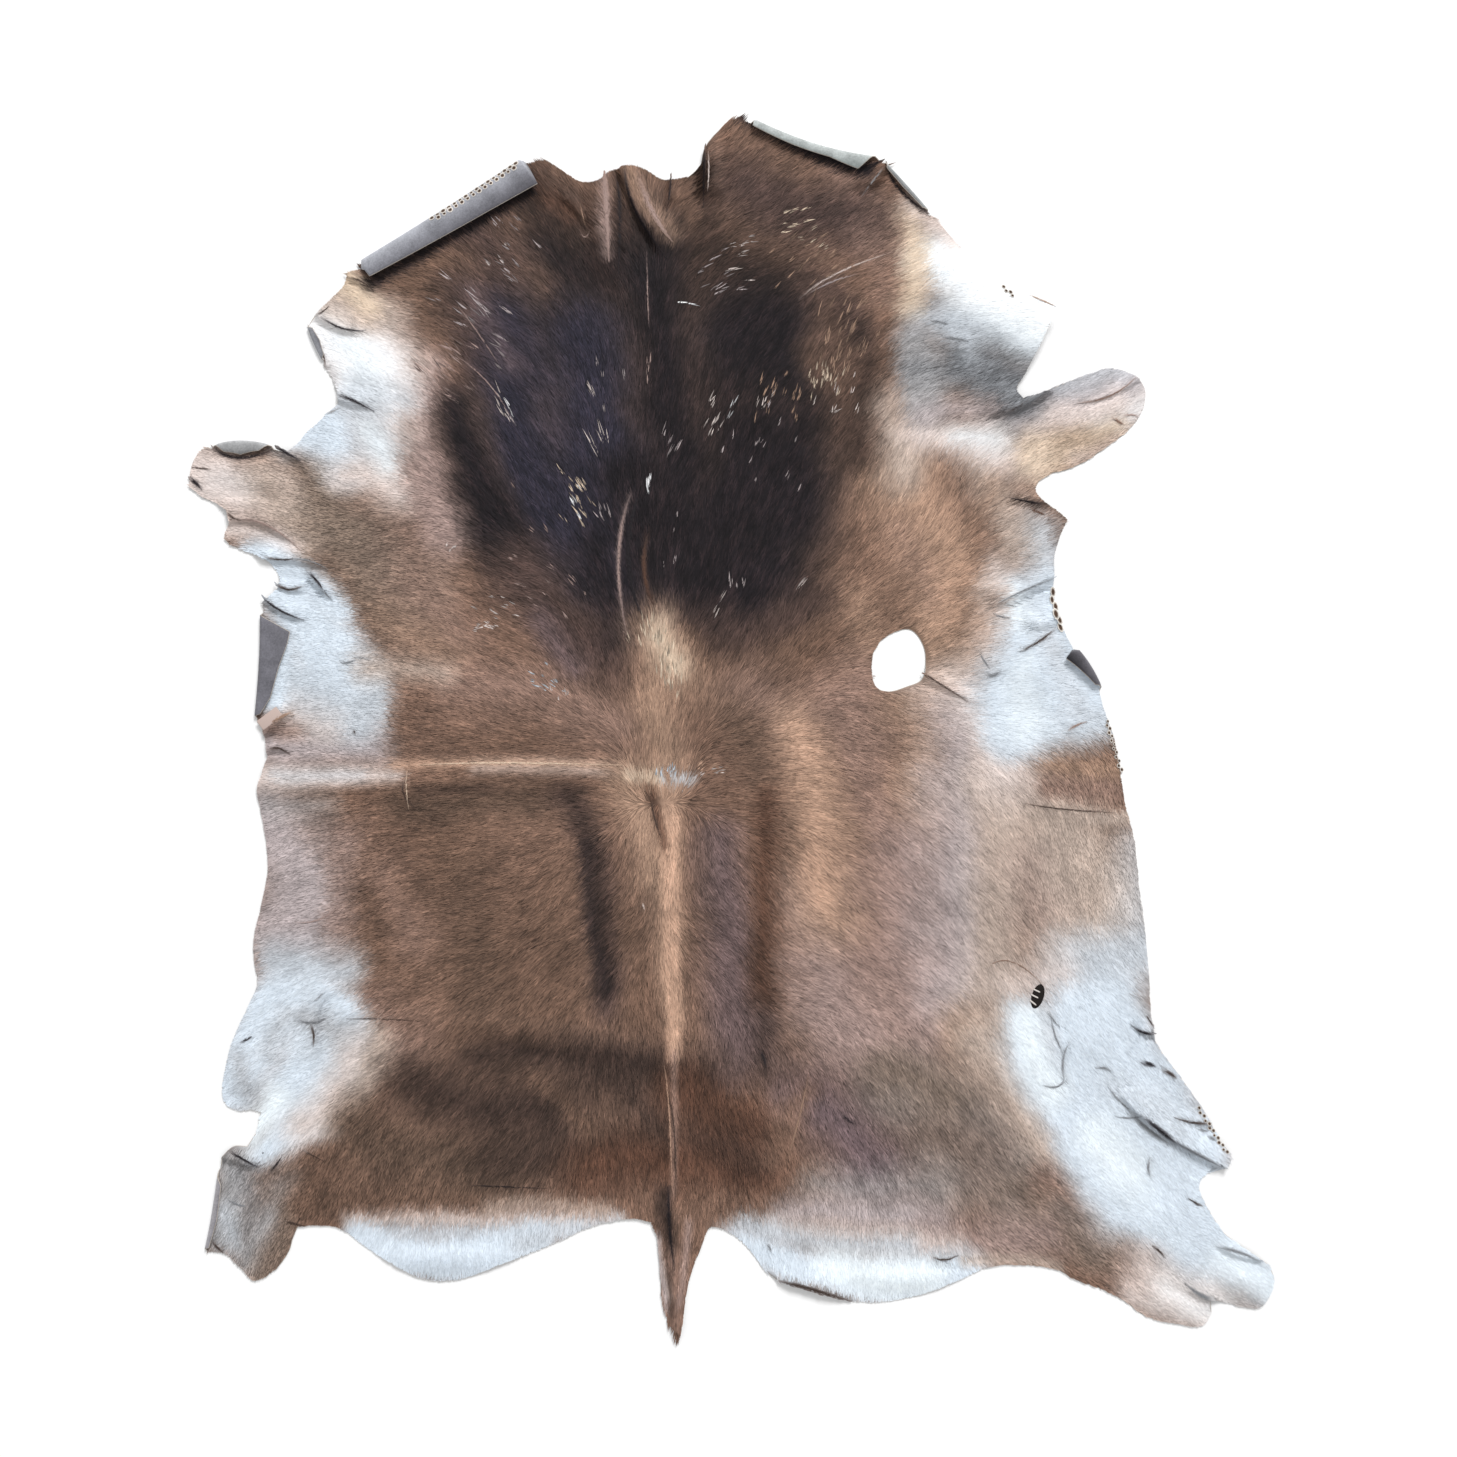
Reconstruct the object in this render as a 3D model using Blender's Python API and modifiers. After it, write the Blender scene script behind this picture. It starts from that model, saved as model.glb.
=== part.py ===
"""Cowhide rug lying on the floor with its hair side up.

One tanned hide, cut round the edge, with some of the edge rolled over so that the flesh side shows.
The rug is drawn flat first, as the hide was trimmed, and then rolled and creased.
X runs across the hide and Y from the tail towards the neck.
"""
from collections import namedtuple
import math

import bpy
import numpy as np
from mathutils.geometry import delaunay_2d_cdt
from mathutils.geometry import interpolate_bezier

# Driving sizes, in millimetres unless a name says otherwise
HIDE_THICKNESS = 3.0
EDGE_STEP = 20.0
HOLE_STEP = 14.0
LATTICE_STEP = 56.0
FOLD_STEP = 26.0
BEND_STEPS = 6
CREASE_STEP = 27.0
STEEP_WIDTH = 12.0
FEWEST_FOLD_STEPS = 4
FEWEST_CREASE_STEPS = 3
METRES_PER_MM = 0.001

# How close points of the flat hide may come to its edge and to each other
EDGE_MARGIN = 6.0
ROLL_GAP = 0.5
CREASE_GAP = 5.0
LATTICE_GAP = 31.0
WELD_GAP = 0.01

# Shares of a curve: where a crease has come to its full height, and how finely curves are cut
END_TAPER = 0.3
END_SHARE = 0.02
FREE_EDGE_SHARE = 0.4
NORMAL_SHARE = 0.001
FLAP_ROW_SHARE = 0.5
CURVE_STEPS = 24

SHARP_EDGE_DEGREES = 60.0

HAIR_COLOR = (0.235, 0.145, 0.095, 1.0)
HAIR_ROUGHNESS = 0.62

Fold = namedtuple("Fold", "name start via end radius sweep lips")
Crease = namedtuple("Crease", "name start via end height left right off_edge")
Swell = namedtuple("Swell", "name centre across along turn height")

# Edges that are rolled over, flesh side out. start, via and end lie on the outside of the bend,
# going clockwise round the hide. radius is that of the bend at mid thickness, sweep its angle in
# degrees, and lips gives (share of the way along, width of the flap past the bend).
FOLDS = (
    Fold("neck right fold", (34, 1044), (144, 1000), (254, 978), 8, 184,
         ((0.03, 3), (0.35, 6), (0.62, 7), (0.84, 17))),
    Fold("neck corner roll", (262, 970), (298, 932), (340, 884), 5, 170,
         ((0.1, 1), (0.5, 3), (0.9, 1))),
    Fold("right flank flap", (590, 138), (616, 104), (636, 64), 6, 176,
         ((0.04, 21), (0.5, 12), (0.85, 3))),
    Fold("left hind edge roll", (-908, -900), (-894, -830), (-884, -756), 4, 178,
         ((0.06, 2), (0.4, 6), (0.8, 4))),
    Fold("left flank flap", (-822, 14), (-814, 108), (-812, 196), 5, 184,
         ((0.05, 4), (0.2, 18), (0.48, 28), (0.7, 41), (0.81, 45))),
    Fold("left foreleg top roll", (-896, 482), (-844, 492), (-786, 482), 5, 184,
         ((0.2, 10), (0.5, 18), (0.8, 8))),
    Fold("left shoulder flap", (-704, 626), (-720, 658), (-732, 690), 4, 180,
         ((0.15, 3), (0.5, 7), (0.85, 3))),
    Fold("neck left roll", (-644, 796), (-500, 885), (-360, 976), 10, 182,
         ((0.02, 22), (0.35, 28), (0.7, 35), (0.985, 42))),
)

# The cut edge, clockwise from the neck. Each stretch runs smoothly from corner to corner, and a
# stretch with no points of its own is the rolled edge of that name.
EDGE = (
    ("neck, left half", ((-344, 968), (-322, 970), (-290, 952), (-262, 936), (-232, 936),
                         (-210, 952), (-180, 960), (-150, 954), (-124, 940), (-100, 938))),
    ("neck, right half", ((-76, 944), (-56, 964), (-48, 988), (-34, 1012), (-14, 1034), (8, 1046))),
    ("neck right fold", None),
    ("neck corner roll", None),
    ("right shoulder", ((348, 874), (376, 838), (410, 802), (444, 774), (478, 752))),
    ("right shoulder lobe", ((512, 734), (548, 720))),
    ("right shoulder side", ((540, 688), (522, 648), (500, 606), (486, 578), (496, 562))),
    ("right foreleg, top", ((520, 568), (548, 580), (600, 600), (650, 614), (682, 606), (704, 588),
                            (708, 562), (694, 528), (668, 500))),
    ("right foreleg, under", ((642, 482), (612, 460), (578, 444), (544, 434), (524, 420), (520, 404),
                              (532, 388), (558, 370), (574, 356))),
    ("right flank, upper", ((562, 330), (552, 294), (550, 254), (552, 220), (560, 186), (572, 156))),
    ("right flank flap", None),
    ("right flank", ((634, 40), (644, 10), (654, -20), (664, -72), (674, -136), (690, -202),
                     (698, -278), (708, -356), (714, -430), (718, -494), (724, -538))),
    ("right hind flank", ((738, -562), (764, -596), (806, -656), (834, -706), (854, -738),
                          (846, -758))),
    ("right hind hock", ((816, -766), (802, -780), (802, -798), (818, -832), (846, -872),
                         (888, -902))),
    ("right hind, upper toe", ((922, -926), (930, -952), (914, -990), (892, -998), (840, -986),
                               (818, -982))),
    ("right hind, lower toe", ((822, -1006), (806, -1028), (758, -1024), (710, -1012), (674, -986),
                               (634, -966), (590, -950), (556, -932), (496, -924), (438, -928),
                               (392, -948), (324, -974), (254, -988), (204, -986))),
    ("right rump", ((162, -972), (118, -960), (80, -952))),
    ("right of the tail", ((54, -932), (26, -894), (-6, -868), (-36, -858), (-46, -868))),
    ("tail, right side", ((-54, -890), (-70, -930), (-80, -968), (-86, -1016), (-92, -1050))),
    ("tail, left side", ((-112, -1020), (-122, -976), (-124, -924), (-130, -874), (-140, -850))),
    ("left rump", ((-166, -844), (-192, -846), (-244, -858), (-314, -890), (-400, -922),
                   (-468, -948), (-528, -948), (-580, -924), (-632, -892), (-674, -862),
                   (-710, -856), (-748, -858))),
    ("left hind foot", ((-756, -878), (-766, -906), (-792, -936), (-822, -950), (-846, -928),
                        (-872, -906), (-892, -902))),
    ("left hind edge roll", None),
    ("left hind, top", ((-876, -738), (-858, -722), (-834, -722))),
    ("left hind", ((-818, -698), (-810, -662))),
    ("left hind flank", ((-826, -656), (-852, -658), (-872, -646), (-876, -620), (-868, -574),
                         (-858, -538), (-832, -480), (-816, -442), (-822, -400), (-822, -364),
                         (-808, -304), (-798, -244), (-802, -190), (-814, -124), (-816, -106),
                         (-806, -76), (-798, -50))),
    ("left flank", ((-802, -24), (-806, -2))),
    ("left flank flap", None),
    ("left flank tab", ((-806, 214), (-796, 222), (-780, 238))),
    ("left armpit", ((-776, 252), (-782, 266), (-796, 284))),
    ("left foreleg, lower lobe", ((-816, 294), (-846, 306), (-866, 316), (-872, 330), (-862, 350))),
    ("left foreleg, upper lobe", ((-868, 372), (-888, 386), (-908, 394), (-932, 412))),
    ("left foreleg, tip", ((-932, 430), (-926, 456), (-914, 474), (-902, 480))),
    ("left foreleg top roll", None),
    ("left foreleg notch", ((-768, 470), (-756, 476), (-734, 502), (-702, 532), (-676, 556))),
    ("left shoulder, lower", ((-678, 578), (-688, 600), (-700, 618))),
    ("left shoulder flap", None),
    ("left shoulder, upper", ((-714, 706), (-688, 736), (-670, 754), (-658, 778), (-642, 784))),
    ("neck left roll", None),
)

HOLE = ((240, 126), (256, 150), (286, 166), (308, 166), (326, 144), (332, 118), (326, 82),
        (298, 68), (268, 60), (246, 68), (238, 96))

# Creases, each a ridge line that may fall steeply on one side. left and right are its widths
# on the left and the right hand of someone who walks from start to end. off_edge says which
# ends keep their height, because the crease runs off the edge of the hide there.
CREASES = (
    Crease("neck ridge, left", (-220, 960), (-216, 860), (-206, 730), 9, 26, 42, "start"),
    Crease("neck fold", (-190, 966), (-166, 888), (-114, 806), 14, 70, 9, "start"),
    Crease("neck crease", (-106, 946), (-108, 918), (-112, 890), 7, 28, 8, "start"),
    Crease("neck ridge, right", (-50, 996), (-46, 946), (-52, 900), 11, 42, 9, "start"),
    Crease("neck wrinkle", (-300, 904), (-270, 890), (-250, 850), 6, 20, 9, "none"),
    Crease("neck corner pleat", (262, 964), (244, 940), (222, 910), 8, 9, 30, "start"),
    Crease("right shoulder ridge", (289, 814), (420, 738), (552, 700), 30, 84, 150, "end"),
    Crease("right armpit fold", (430, 540), (486, 548), (530, 572), 14, 70, 10, "end"),
    Crease("right foreleg fold", (580, 554), (650, 572), (700, 602), 7, 22, 8, "end"),
    Crease("right elbow slit", (474, 394), (502, 390), (530, 384), 7, 22, 8, "end"),
    Crease("right flank crease", (440, 208), (486, 226), (566, 268), 11, 44, 9, "end"),
    Crease("right flank pleat", (500, 168), (528, 176), (560, 190), 8, 30, 9, "end"),
    Crease("hole crease", (330, 86), (358, 70), (424, 42), 6, 24, 9, "start"),
    Crease("right flank stripe", (500, -124), (584, -146), (690, -160), 6, 22, 30, "end"),
    Crease("right hind fold", (660, -616), (720, -682), (836, -752), 13, 60, 9, "end"),
    Crease("right hind tuck, upper", (688, -516), (708, -524), (736, -526), 6, 22, 8, "end"),
    Crease("right hind tuck, lower", (760, -672), (786, -680), (820, -684), 6, 24, 8, "end"),
    Crease("right hock strip", (826, -888), (866, -906), (906, -914), 7, 22, 8, "end"),
    Crease("right toe crease", (776, -962), (800, -976), (824, -984), 7, 26, 9, "end"),
    Crease("right rump lift", (66, -944), (128, -964), (214, -986), 11, 60, 30, "none"),
    Crease("rump tuck", (340, -908), (360, -914), (384, -908), 5, 8, 18, "none"),
    Crease("tail ridge", (-98, -800), (-98, -900), (-93, -1040), 7, 20, 20, "end"),
    Crease("spine, lower", (-108, -500), (-106, -660), (-102, -810), 5, 34, 34, "none"),
    Crease("spine ridge", (-170, -90), (-166, -300), (-140, -520), 10, 110, 72, "none"),
    Crease("ridge right of the spine", (70, 40), (84, -240), (96, -560), 11, 130, 105, "none"),
    Crease("body fold, across", (-812, -82), (-484, -74), (-20, -70), 6, 34, 62, "start"),
    Crease("body fold, down", (-562, -60), (-560, -100), (-556, -146), 4, 12, 34, "none"),
    Crease("rump fold, left", (-650, -510), (-380, -520), (-116, -574), 4, 40, 30, "none"),
    Crease("rump fold, right", (-110, -578), (60, -590), (260, -600), 4, 40, 30, "none"),
    Crease("left hind crease", (-884, -736), (-846, -746), (-808, -758), 8, 30, 8, "start"),
    Crease("left hock crease", (-792, -764), (-784, -752), (-774, -738), 6, 8, 18, "none"),
    Crease("left hind tuck", (-676, -452), (-708, -480), (-714, -566), 7, 9, 28, "none"),
    Crease("left flank pleat", (-802, -12), (-780, 8), (-756, 30), 8, 32, 8, "start"),
    Crease("left flank crease", (-804, -46), (-782, -38), (-756, -44), 6, 24, 8, "start"),
    Crease("left flank fold, lower", (-804, 220), (-772, 198), (-728, 182), 9, 36, 8, "start"),
    Crease("left flank fold, upper", (-728, 262), (-708, 240), (-684, 216), 8, 26, 8, "none"),
    Crease("left armpit crease", (-786, 244), (-758, 236), (-728, 234), 7, 20, 8, "start"),
    Crease("left foreleg fold, lower", (-800, 288), (-744, 286), (-684, 270), 10, 34, 9, "start"),
    Crease("left foreleg fold, upper", (-866, 352), (-808, 350), (-736, 302), 10, 50, 9, "start"),
    Crease("left foreleg crease", (-784, 480), (-760, 466), (-736, 452), 9, 34, 8, "start"),
    Crease("left shoulder fold, lower", (-686, 566), (-654, 556), (-622, 546), 8, 34, 9, "start"),
    Crease("left shoulder fold, middle", (-716, 708), (-674, 684), (-630, 680), 10, 44, 9, "start"),
    Crease("left shoulder fold, upper", (-662, 776), (-638, 762), (-612, 752), 7, 26, 8, "start"),
)

# Broad low swells where the hide doesn't lie quite flat. turn is in degrees.
SWELLS = (
    Swell("left shoulder lobe", (-640, 640), 60, 90, 0, 9),
    Swell("right foreleg", (610, 530), 95, 44, 22, 10),
    Swell("left foreleg", (-820, 430), 90, 44, -8, 11),
    Swell("right flank lobe", (510, 120), 70, 120, 20, 9),
    Swell("left flank lobe", (-690, 120), 60, 90, 0, 9),
    Swell("left rump lobe", (-480, -916), 170, 34, 0, 9),
    Swell("right rump lobe", (300, -948), 110, 34, 0, 9),
    Swell("upper toe", (872, -952), 52, 40, -30, 9),
    Swell("lower toe", (744, -992), 70, 32, -20, 9),
    Swell("left hind foot", (-826, -860), 46, 80, 10, 9),
    Swell("left hind flank", (-826, -600), 44, 70, 0, 9),
    Swell("right hind flank", (700, -840), 70, 130, 40, 10),
)


def curve_points(row, shares):
    """Points at the given shares of a row's curve, which passes its via point half-way."""
    start = np.array(row.start, dtype=float)
    via = np.array(row.via, dtype=float)
    end = np.array(row.end, dtype=float)
    control = 2.0 * via - 0.5 * (start + end)
    t = np.asarray(shares, dtype=float)[:, None]
    return (1.0 - t) ** 2 * start + 2.0 * t * (1.0 - t) * control + t ** 2 * end


def curve_normals(row, shares):
    """Unit normals on the left hand of a row's curve."""
    t = np.asarray(shares, dtype=float)
    run = curve_points(row, t + NORMAL_SHARE) - curve_points(row, t - NORMAL_SHARE)
    run /= np.linalg.norm(run, axis=1)[:, None]
    return np.stack((-run[:, 1], run[:, 0]), axis=1)


def curve_length(row):
    """Length of a row's curve."""
    points = curve_points(row, np.linspace(0.0, 1.0, CURVE_STEPS + 1))
    return float(np.linalg.norm(np.diff(points, axis=0), axis=1).sum())


def along_and_aside(row, points):
    """Share of the way along a row's curve and distance to its left, for each point."""
    curve = curve_points(row, np.linspace(0.0, 1.0, CURVE_STEPS + 1))
    start = curve[:-1]
    run = np.diff(curve, axis=0)
    offset = points[:, None, :] - start
    share = np.clip((offset * run).sum(axis=2) / (run * run).sum(axis=1), 0.0, 1.0)
    gap = offset - share[:, :, None] * run
    distance = np.linalg.norm(gap, axis=2)
    nearest = distance.argmin(axis=1)
    each = np.arange(len(points))
    near_gap = gap[each, nearest]
    near_run = run[nearest]
    turn = near_run[:, 0] * near_gap[:, 1] - near_run[:, 1] * near_gap[:, 0]
    along = (nearest + share[each, nearest]) / CURVE_STEPS
    return along, np.where(turn >= 0.0, 1.0, -1.0) * distance[each, nearest]


def bump(reach):
    """Smooth hump that is 1 at reach 0 and flat at nothing from reach 1 on."""
    return np.clip(1.0 - reach ** 2, 0.0, 1.0) ** 2


def hide_heights(points):
    """Height of the hide's middle over its flat lie at each point, from creases and swells."""
    heights = np.zeros(len(points))
    for crease in CREASES:
        along, aside = along_and_aside(crease, points)
        reach = np.where(aside >= 0.0, aside / crease.left, -aside / crease.right)
        from_start = np.ones(len(points)) if crease.off_edge == "start" else along
        from_end = np.ones(len(points)) if crease.off_edge == "end" else 1.0 - along
        ends = np.clip(np.minimum(from_start, from_end) / END_TAPER, 0.0, 1.0)
        ease = ends * ends * (3.0 - 2.0 * ends)
        heights = np.maximum(heights, crease.height * bump(reach) * ease)
    for swell in SWELLS:
        turn = math.radians(swell.turn)
        offset = points - np.array(swell.centre, dtype=float)
        across = offset[:, 0] * math.cos(turn) + offset[:, 1] * math.sin(turn)
        along = offset[:, 1] * math.cos(turn) - offset[:, 0] * math.sin(turn)
        reach = np.hypot(across / swell.across, along / swell.along)
        heights += swell.height * bump(reach)
    return heights


def smooth_edge(stretch, step):
    """Points about a step apart on a smooth curve from the first to the last of a stretch."""
    knots = [np.array(point, dtype=float) for point in stretch]
    last = len(knots) - 1
    tangents = []
    for i in range(last + 1):
        span = knots[min(i + 1, last)] - knots[max(i - 1, 0)]
        tangents.append(span / np.linalg.norm(span))
    points = []
    for i in range(last):
        length = np.linalg.norm(knots[i + 1] - knots[i])
        handle = knots[i] + tangents[i] * length / 3.0
        next_handle = knots[i + 1] - tangents[i + 1] * length / 3.0
        steps = max(1, round(length / step))
        span = interpolate_bezier(knots[i], handle, next_handle, knots[i + 1], steps + 1)
        points.extend((point[0], point[1]) for point in span[:-1])
    points.append(tuple(knots[last]))
    return points


def bend_inset(fold):
    """Distance from the outside of a fold's bend back to the line where the hide lifts."""
    return fold.radius + HIDE_THICKNESS / 2.0


def bend_length(fold):
    """Length of hide in a fold's bend."""
    return fold.radius * math.radians(fold.sweep)


def fold_depths(fold, shares):
    """Width of hide past the fold line at each share of the way along it."""
    at = [0.0] + [share for share, lip in fold.lips] + [1.0]
    depths = [0.0] + [bend_length(fold) + lip for share, lip in fold.lips] + [0.0]
    return np.interp(shares, at, depths)


def fold_pattern(fold, shares, depths):
    """Places on the flat hide of points given by their share along a fold and depth past it."""
    inset = bend_inset(fold)
    return curve_points(fold, shares) + curve_normals(fold, shares) * (np.asarray(depths) - inset)[:, None]


def fold_steps(fold):
    """Number of parts that a fold line is cut into."""
    return max(FEWEST_FOLD_STEPS, round(curve_length(fold) / FOLD_STEP))


def fold_edge_shares(fold):
    """Shares along a fold at which its free edge has a point."""
    steps = fold_steps(fold)
    shares = {0.0, 1.0}
    shares.update(share for share, lip in fold.lips)
    first = fold.lips[0][0]
    final = fold.lips[-1][0]
    for i in range(1, steps):
        share = first + (final - first) * i / steps
        if min(abs(share - taken) for taken in shares) > FREE_EDGE_SHARE / steps:
            shares.add(share)
    return sorted(shares)


def rolled_place(fold, share, depth):
    """Place in space of a point of the hide past a fold line."""
    foot = fold_pattern(fold, [share], [0.0])
    outward = curve_normals(fold, [share])[0]
    bend = bend_length(fold)
    angle = min(depth, bend) / fold.radius
    flap = max(depth - bend, 0.0)
    out = fold.radius * math.sin(angle) + flap * math.cos(angle)
    up = fold.radius * (1.0 - math.cos(angle)) + flap * math.sin(angle)
    height = hide_heights(foot)[0] + up
    return foot[0][0] + outward[0] * out, foot[0][1] + outward[1] * out, height


def inside(loop, points):
    """Whether each point lies inside a closed loop."""
    ring = np.array(loop)
    following = np.roll(ring, -1, axis=0)
    crossings = np.zeros(len(points), dtype=int)
    for (x1, y1), (x2, y2) in zip(ring, following):
        if y1 != y2:
            spans = (points[:, 1] >= min(y1, y2)) & (points[:, 1] < max(y1, y2))
            reach = x1 + (points[:, 1] - y1) * (x2 - x1) / (y2 - y1)
            crossings += spans & (points[:, 0] < reach)
    return crossings % 2 == 1


def distance_to_loop(loop, points):
    """Distance from each point to a closed loop."""
    ring = np.array(loop)
    run = np.roll(ring, -1, axis=0) - ring
    offset = points[:, None, :] - ring
    share = np.clip((offset * run).sum(axis=2) / (run * run).sum(axis=1), 0.0, 1.0)
    return np.linalg.norm(offset - share[:, :, None] * run, axis=2).min(axis=1)


class Pattern:
    """The flat hide: its points, and for those past a fold line their share and depth there."""

    def __init__(self):
        self.points = []
        self.rolled = []
        self.loops = []
        self.flaps = []

    def add_loop(self, points, rolled):
        first = len(self.points)
        self.points.extend(points)
        self.rolled.extend(rolled)
        self.loops.append(list(range(first, first + len(points))))

    def add_inner(self, points, gap, rolled=None):
        """Adds the points that lie on the hide, clear of its edge and of earlier points.

        Points that aren't rolled stay off the flaps.
        """
        points = np.asarray(points, dtype=float)
        rings = [[self.points[i] for i in loop] for loop in self.loops]
        fits = inside(rings[0], points)
        for ring in rings:
            fits &= distance_to_loop(ring, points) > EDGE_MARGIN
        for ring in rings[1:] + (self.flaps if rolled is None else []):
            fits &= ~inside(ring, points)
        rolled = rolled or [None] * len(points)
        taken = np.array(self.points)
        for point, roll, fit in zip(points, rolled, fits):
            if fit and np.linalg.norm(taken - point, axis=1).min() > gap:
                self.points.append(tuple(point))
                self.rolled.append(roll)
                taken = np.vstack((taken, point))


def add_edge(pattern):
    """The cut edge, with the flaps that the folds turn over laid out flat."""
    folds = {fold.name: fold for fold in FOLDS}
    points = []
    rolled = []
    for name, stretch in EDGE:
        if stretch is None:
            fold = folds[name]
            shares = fold_edge_shares(fold)
            depths = fold_depths(fold, shares)
            pattern.flaps.append(fold_pattern(fold, shares, depths))
            points.extend(map(tuple, pattern.flaps[-1]))
            rolled.extend((fold, share, depth) for share, depth in zip(shares, depths))
        else:
            edge = smooth_edge(stretch, EDGE_STEP)
            points.extend(edge)
            rolled.extend([None] * len(edge))
    pattern.add_loop(points, rolled)


def add_hole(pattern):
    """The hole in the right shoulder."""
    points = smooth_edge(HOLE + HOLE[:1], HOLE_STEP)[:-1]
    pattern.add_loop(points, [None] * len(points))


def add_fold_rows(pattern):
    """Rows of points along each fold line, round its bend and on its flap."""
    for fold in FOLDS:
        steps = fold_steps(fold)
        shares = (np.arange(steps) + 0.5) / steps
        bend = bend_length(fold)
        rows = [bend * i / BEND_STEPS for i in range(BEND_STEPS + 1)]
        rows.append(bend + FLAP_ROW_SHARE * max(lip for share, lip in fold.lips))
        for row in rows:
            kept = shares[fold_depths(fold, shares) > row + CREASE_GAP]
            depths = np.full(len(kept), row)
            rolled = [(fold, share, row) for share in kept]
            pattern.add_inner(fold_pattern(fold, kept, depths), ROLL_GAP, rolled)


def add_crease_rows(pattern):
    """Rows of points along each crease: its ridge first, then its two slopes."""
    for crease in CREASES:
        steps = max(FEWEST_CREASE_STEPS, round(curve_length(crease) / CREASE_STEP))
        shares = np.linspace(END_SHARE, 1.0 - END_SHARE, steps + 1)
        rows = [0.0]
        for side, width in ((1.0, crease.left), (-1.0, crease.right)):
            parts = 1 if width < STEEP_WIDTH else 2
            rows.extend(side * width * (i + 1) / parts for i in range(parts))
        for row in rows:
            points = curve_points(crease, shares) + curve_normals(crease, shares) * row
            pattern.add_inner(points, CREASE_GAP)


def add_lattice(pattern):
    """An even lattice of points over the rest of the hide."""
    outline = np.array([pattern.points[i] for i in pattern.loops[0]])
    low = outline.min(axis=0)
    high = outline.max(axis=0)
    row_height = LATTICE_STEP * math.sqrt(0.75)
    rows = int((high[1] - low[1]) / row_height) + 1
    columns = int((high[0] - low[0]) / LATTICE_STEP) + 2
    points = []
    for row in range(rows):
        shift = 0.5 * LATTICE_STEP * (row % 2)
        y = low[1] + row * row_height
        points.extend((low[0] + shift + column * LATTICE_STEP, y) for column in range(columns))
    pattern.add_inner(points, LATTICE_GAP)


def hide_mesh():
    """The middle surface of the hide, rolled and creased, as a mesh in metres."""
    pattern = Pattern()
    add_edge(pattern)
    add_hole(pattern)
    add_fold_rows(pattern)
    add_crease_rows(pattern)
    add_lattice(pattern)
    edges = []
    for loop in pattern.loops:
        edges.extend(zip(loop, loop[1:] + loop[:1]))
    inside_edge = 1
    flat_points, _, triangles, sources, _, _ = delaunay_2d_cdt(
        pattern.points, edges, [], inside_edge, WELD_GAP)
    plain = np.array([(point[0], point[1]) for point in flat_points])
    hole = [pattern.points[i] for i in pattern.loops[1]]
    middles = plain[np.array(triangles)].mean(axis=1)
    triangles = [triangle for triangle, cut in zip(triangles, inside(hole, middles)) if not cut]
    heights = hide_heights(plain)
    places = []
    for i, source in enumerate(sources):
        roll = pattern.rolled[source[0]] if source else None
        if roll:
            places.append(rolled_place(*roll))
        else:
            places.append((plain[i][0], plain[i][1], heights[i]))
    places = np.array(places)
    middle = 0.5 * (places.min(axis=0) + places.max(axis=0))
    places[:, :2] -= middle[:2]
    places[:, 2] += HIDE_THICKNESS / 2.0
    mesh = bpy.data.meshes.new("hide")
    mesh.from_pydata((places * METRES_PER_MM).tolist(), [], triangles)
    mesh.update()
    return mesh


def hair_material():
    """Short brown hair as a plain finish."""
    material = bpy.data.materials.new("cowhide")
    material.use_nodes = True
    shader = material.node_tree.nodes["Principled BSDF"]
    shader.inputs["Base Color"].default_value = HAIR_COLOR
    shader.inputs["Roughness"].default_value = HAIR_ROUGHNESS
    shader.inputs["Metallic"].default_value = 0.0
    return material


def build_rug():
    """The rug in its own collection."""
    for old in list(bpy.data.objects):
        bpy.data.objects.remove(old)
    rug = bpy.data.collections.new("cowhide rug")
    bpy.context.scene.collection.children.link(rug)
    hide = bpy.data.objects.new("hide", hide_mesh())
    rug.objects.link(hide)
    wall = hide.modifiers.new("thickness", "SOLIDIFY")
    wall.thickness = HIDE_THICKNESS * METRES_PER_MM
    wall.offset = 0.0
    thick = bpy.data.meshes.new_from_object(
        hide.evaluated_get(bpy.context.evaluated_depsgraph_get()))
    hide.modifiers.clear()
    hide.data = thick
    thick.materials.append(hair_material())
    thick.shade_smooth()
    thick.set_sharp_from_angle(angle=math.radians(SHARP_EDGE_DEGREES))


build_rug()
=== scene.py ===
"""Looks of a cowhide rug that lies flat on the floor, hair side up.

The hide is laid out flat first, as it was trimmed, and then rolled and creased as it lies.
X runs across the hide and Y from the tail towards the neck. Sizes are in millimetres, as a
tanner measures a skin, and a mesh gets them in metres.
"""
from collections import namedtuple
import math

import bpy
import numpy as np
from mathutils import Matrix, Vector
from mathutils.geometry import delaunay_2d_cdt
from mathutils.geometry import interpolate_bezier
from mathutils.kdtree import KDTree


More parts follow.
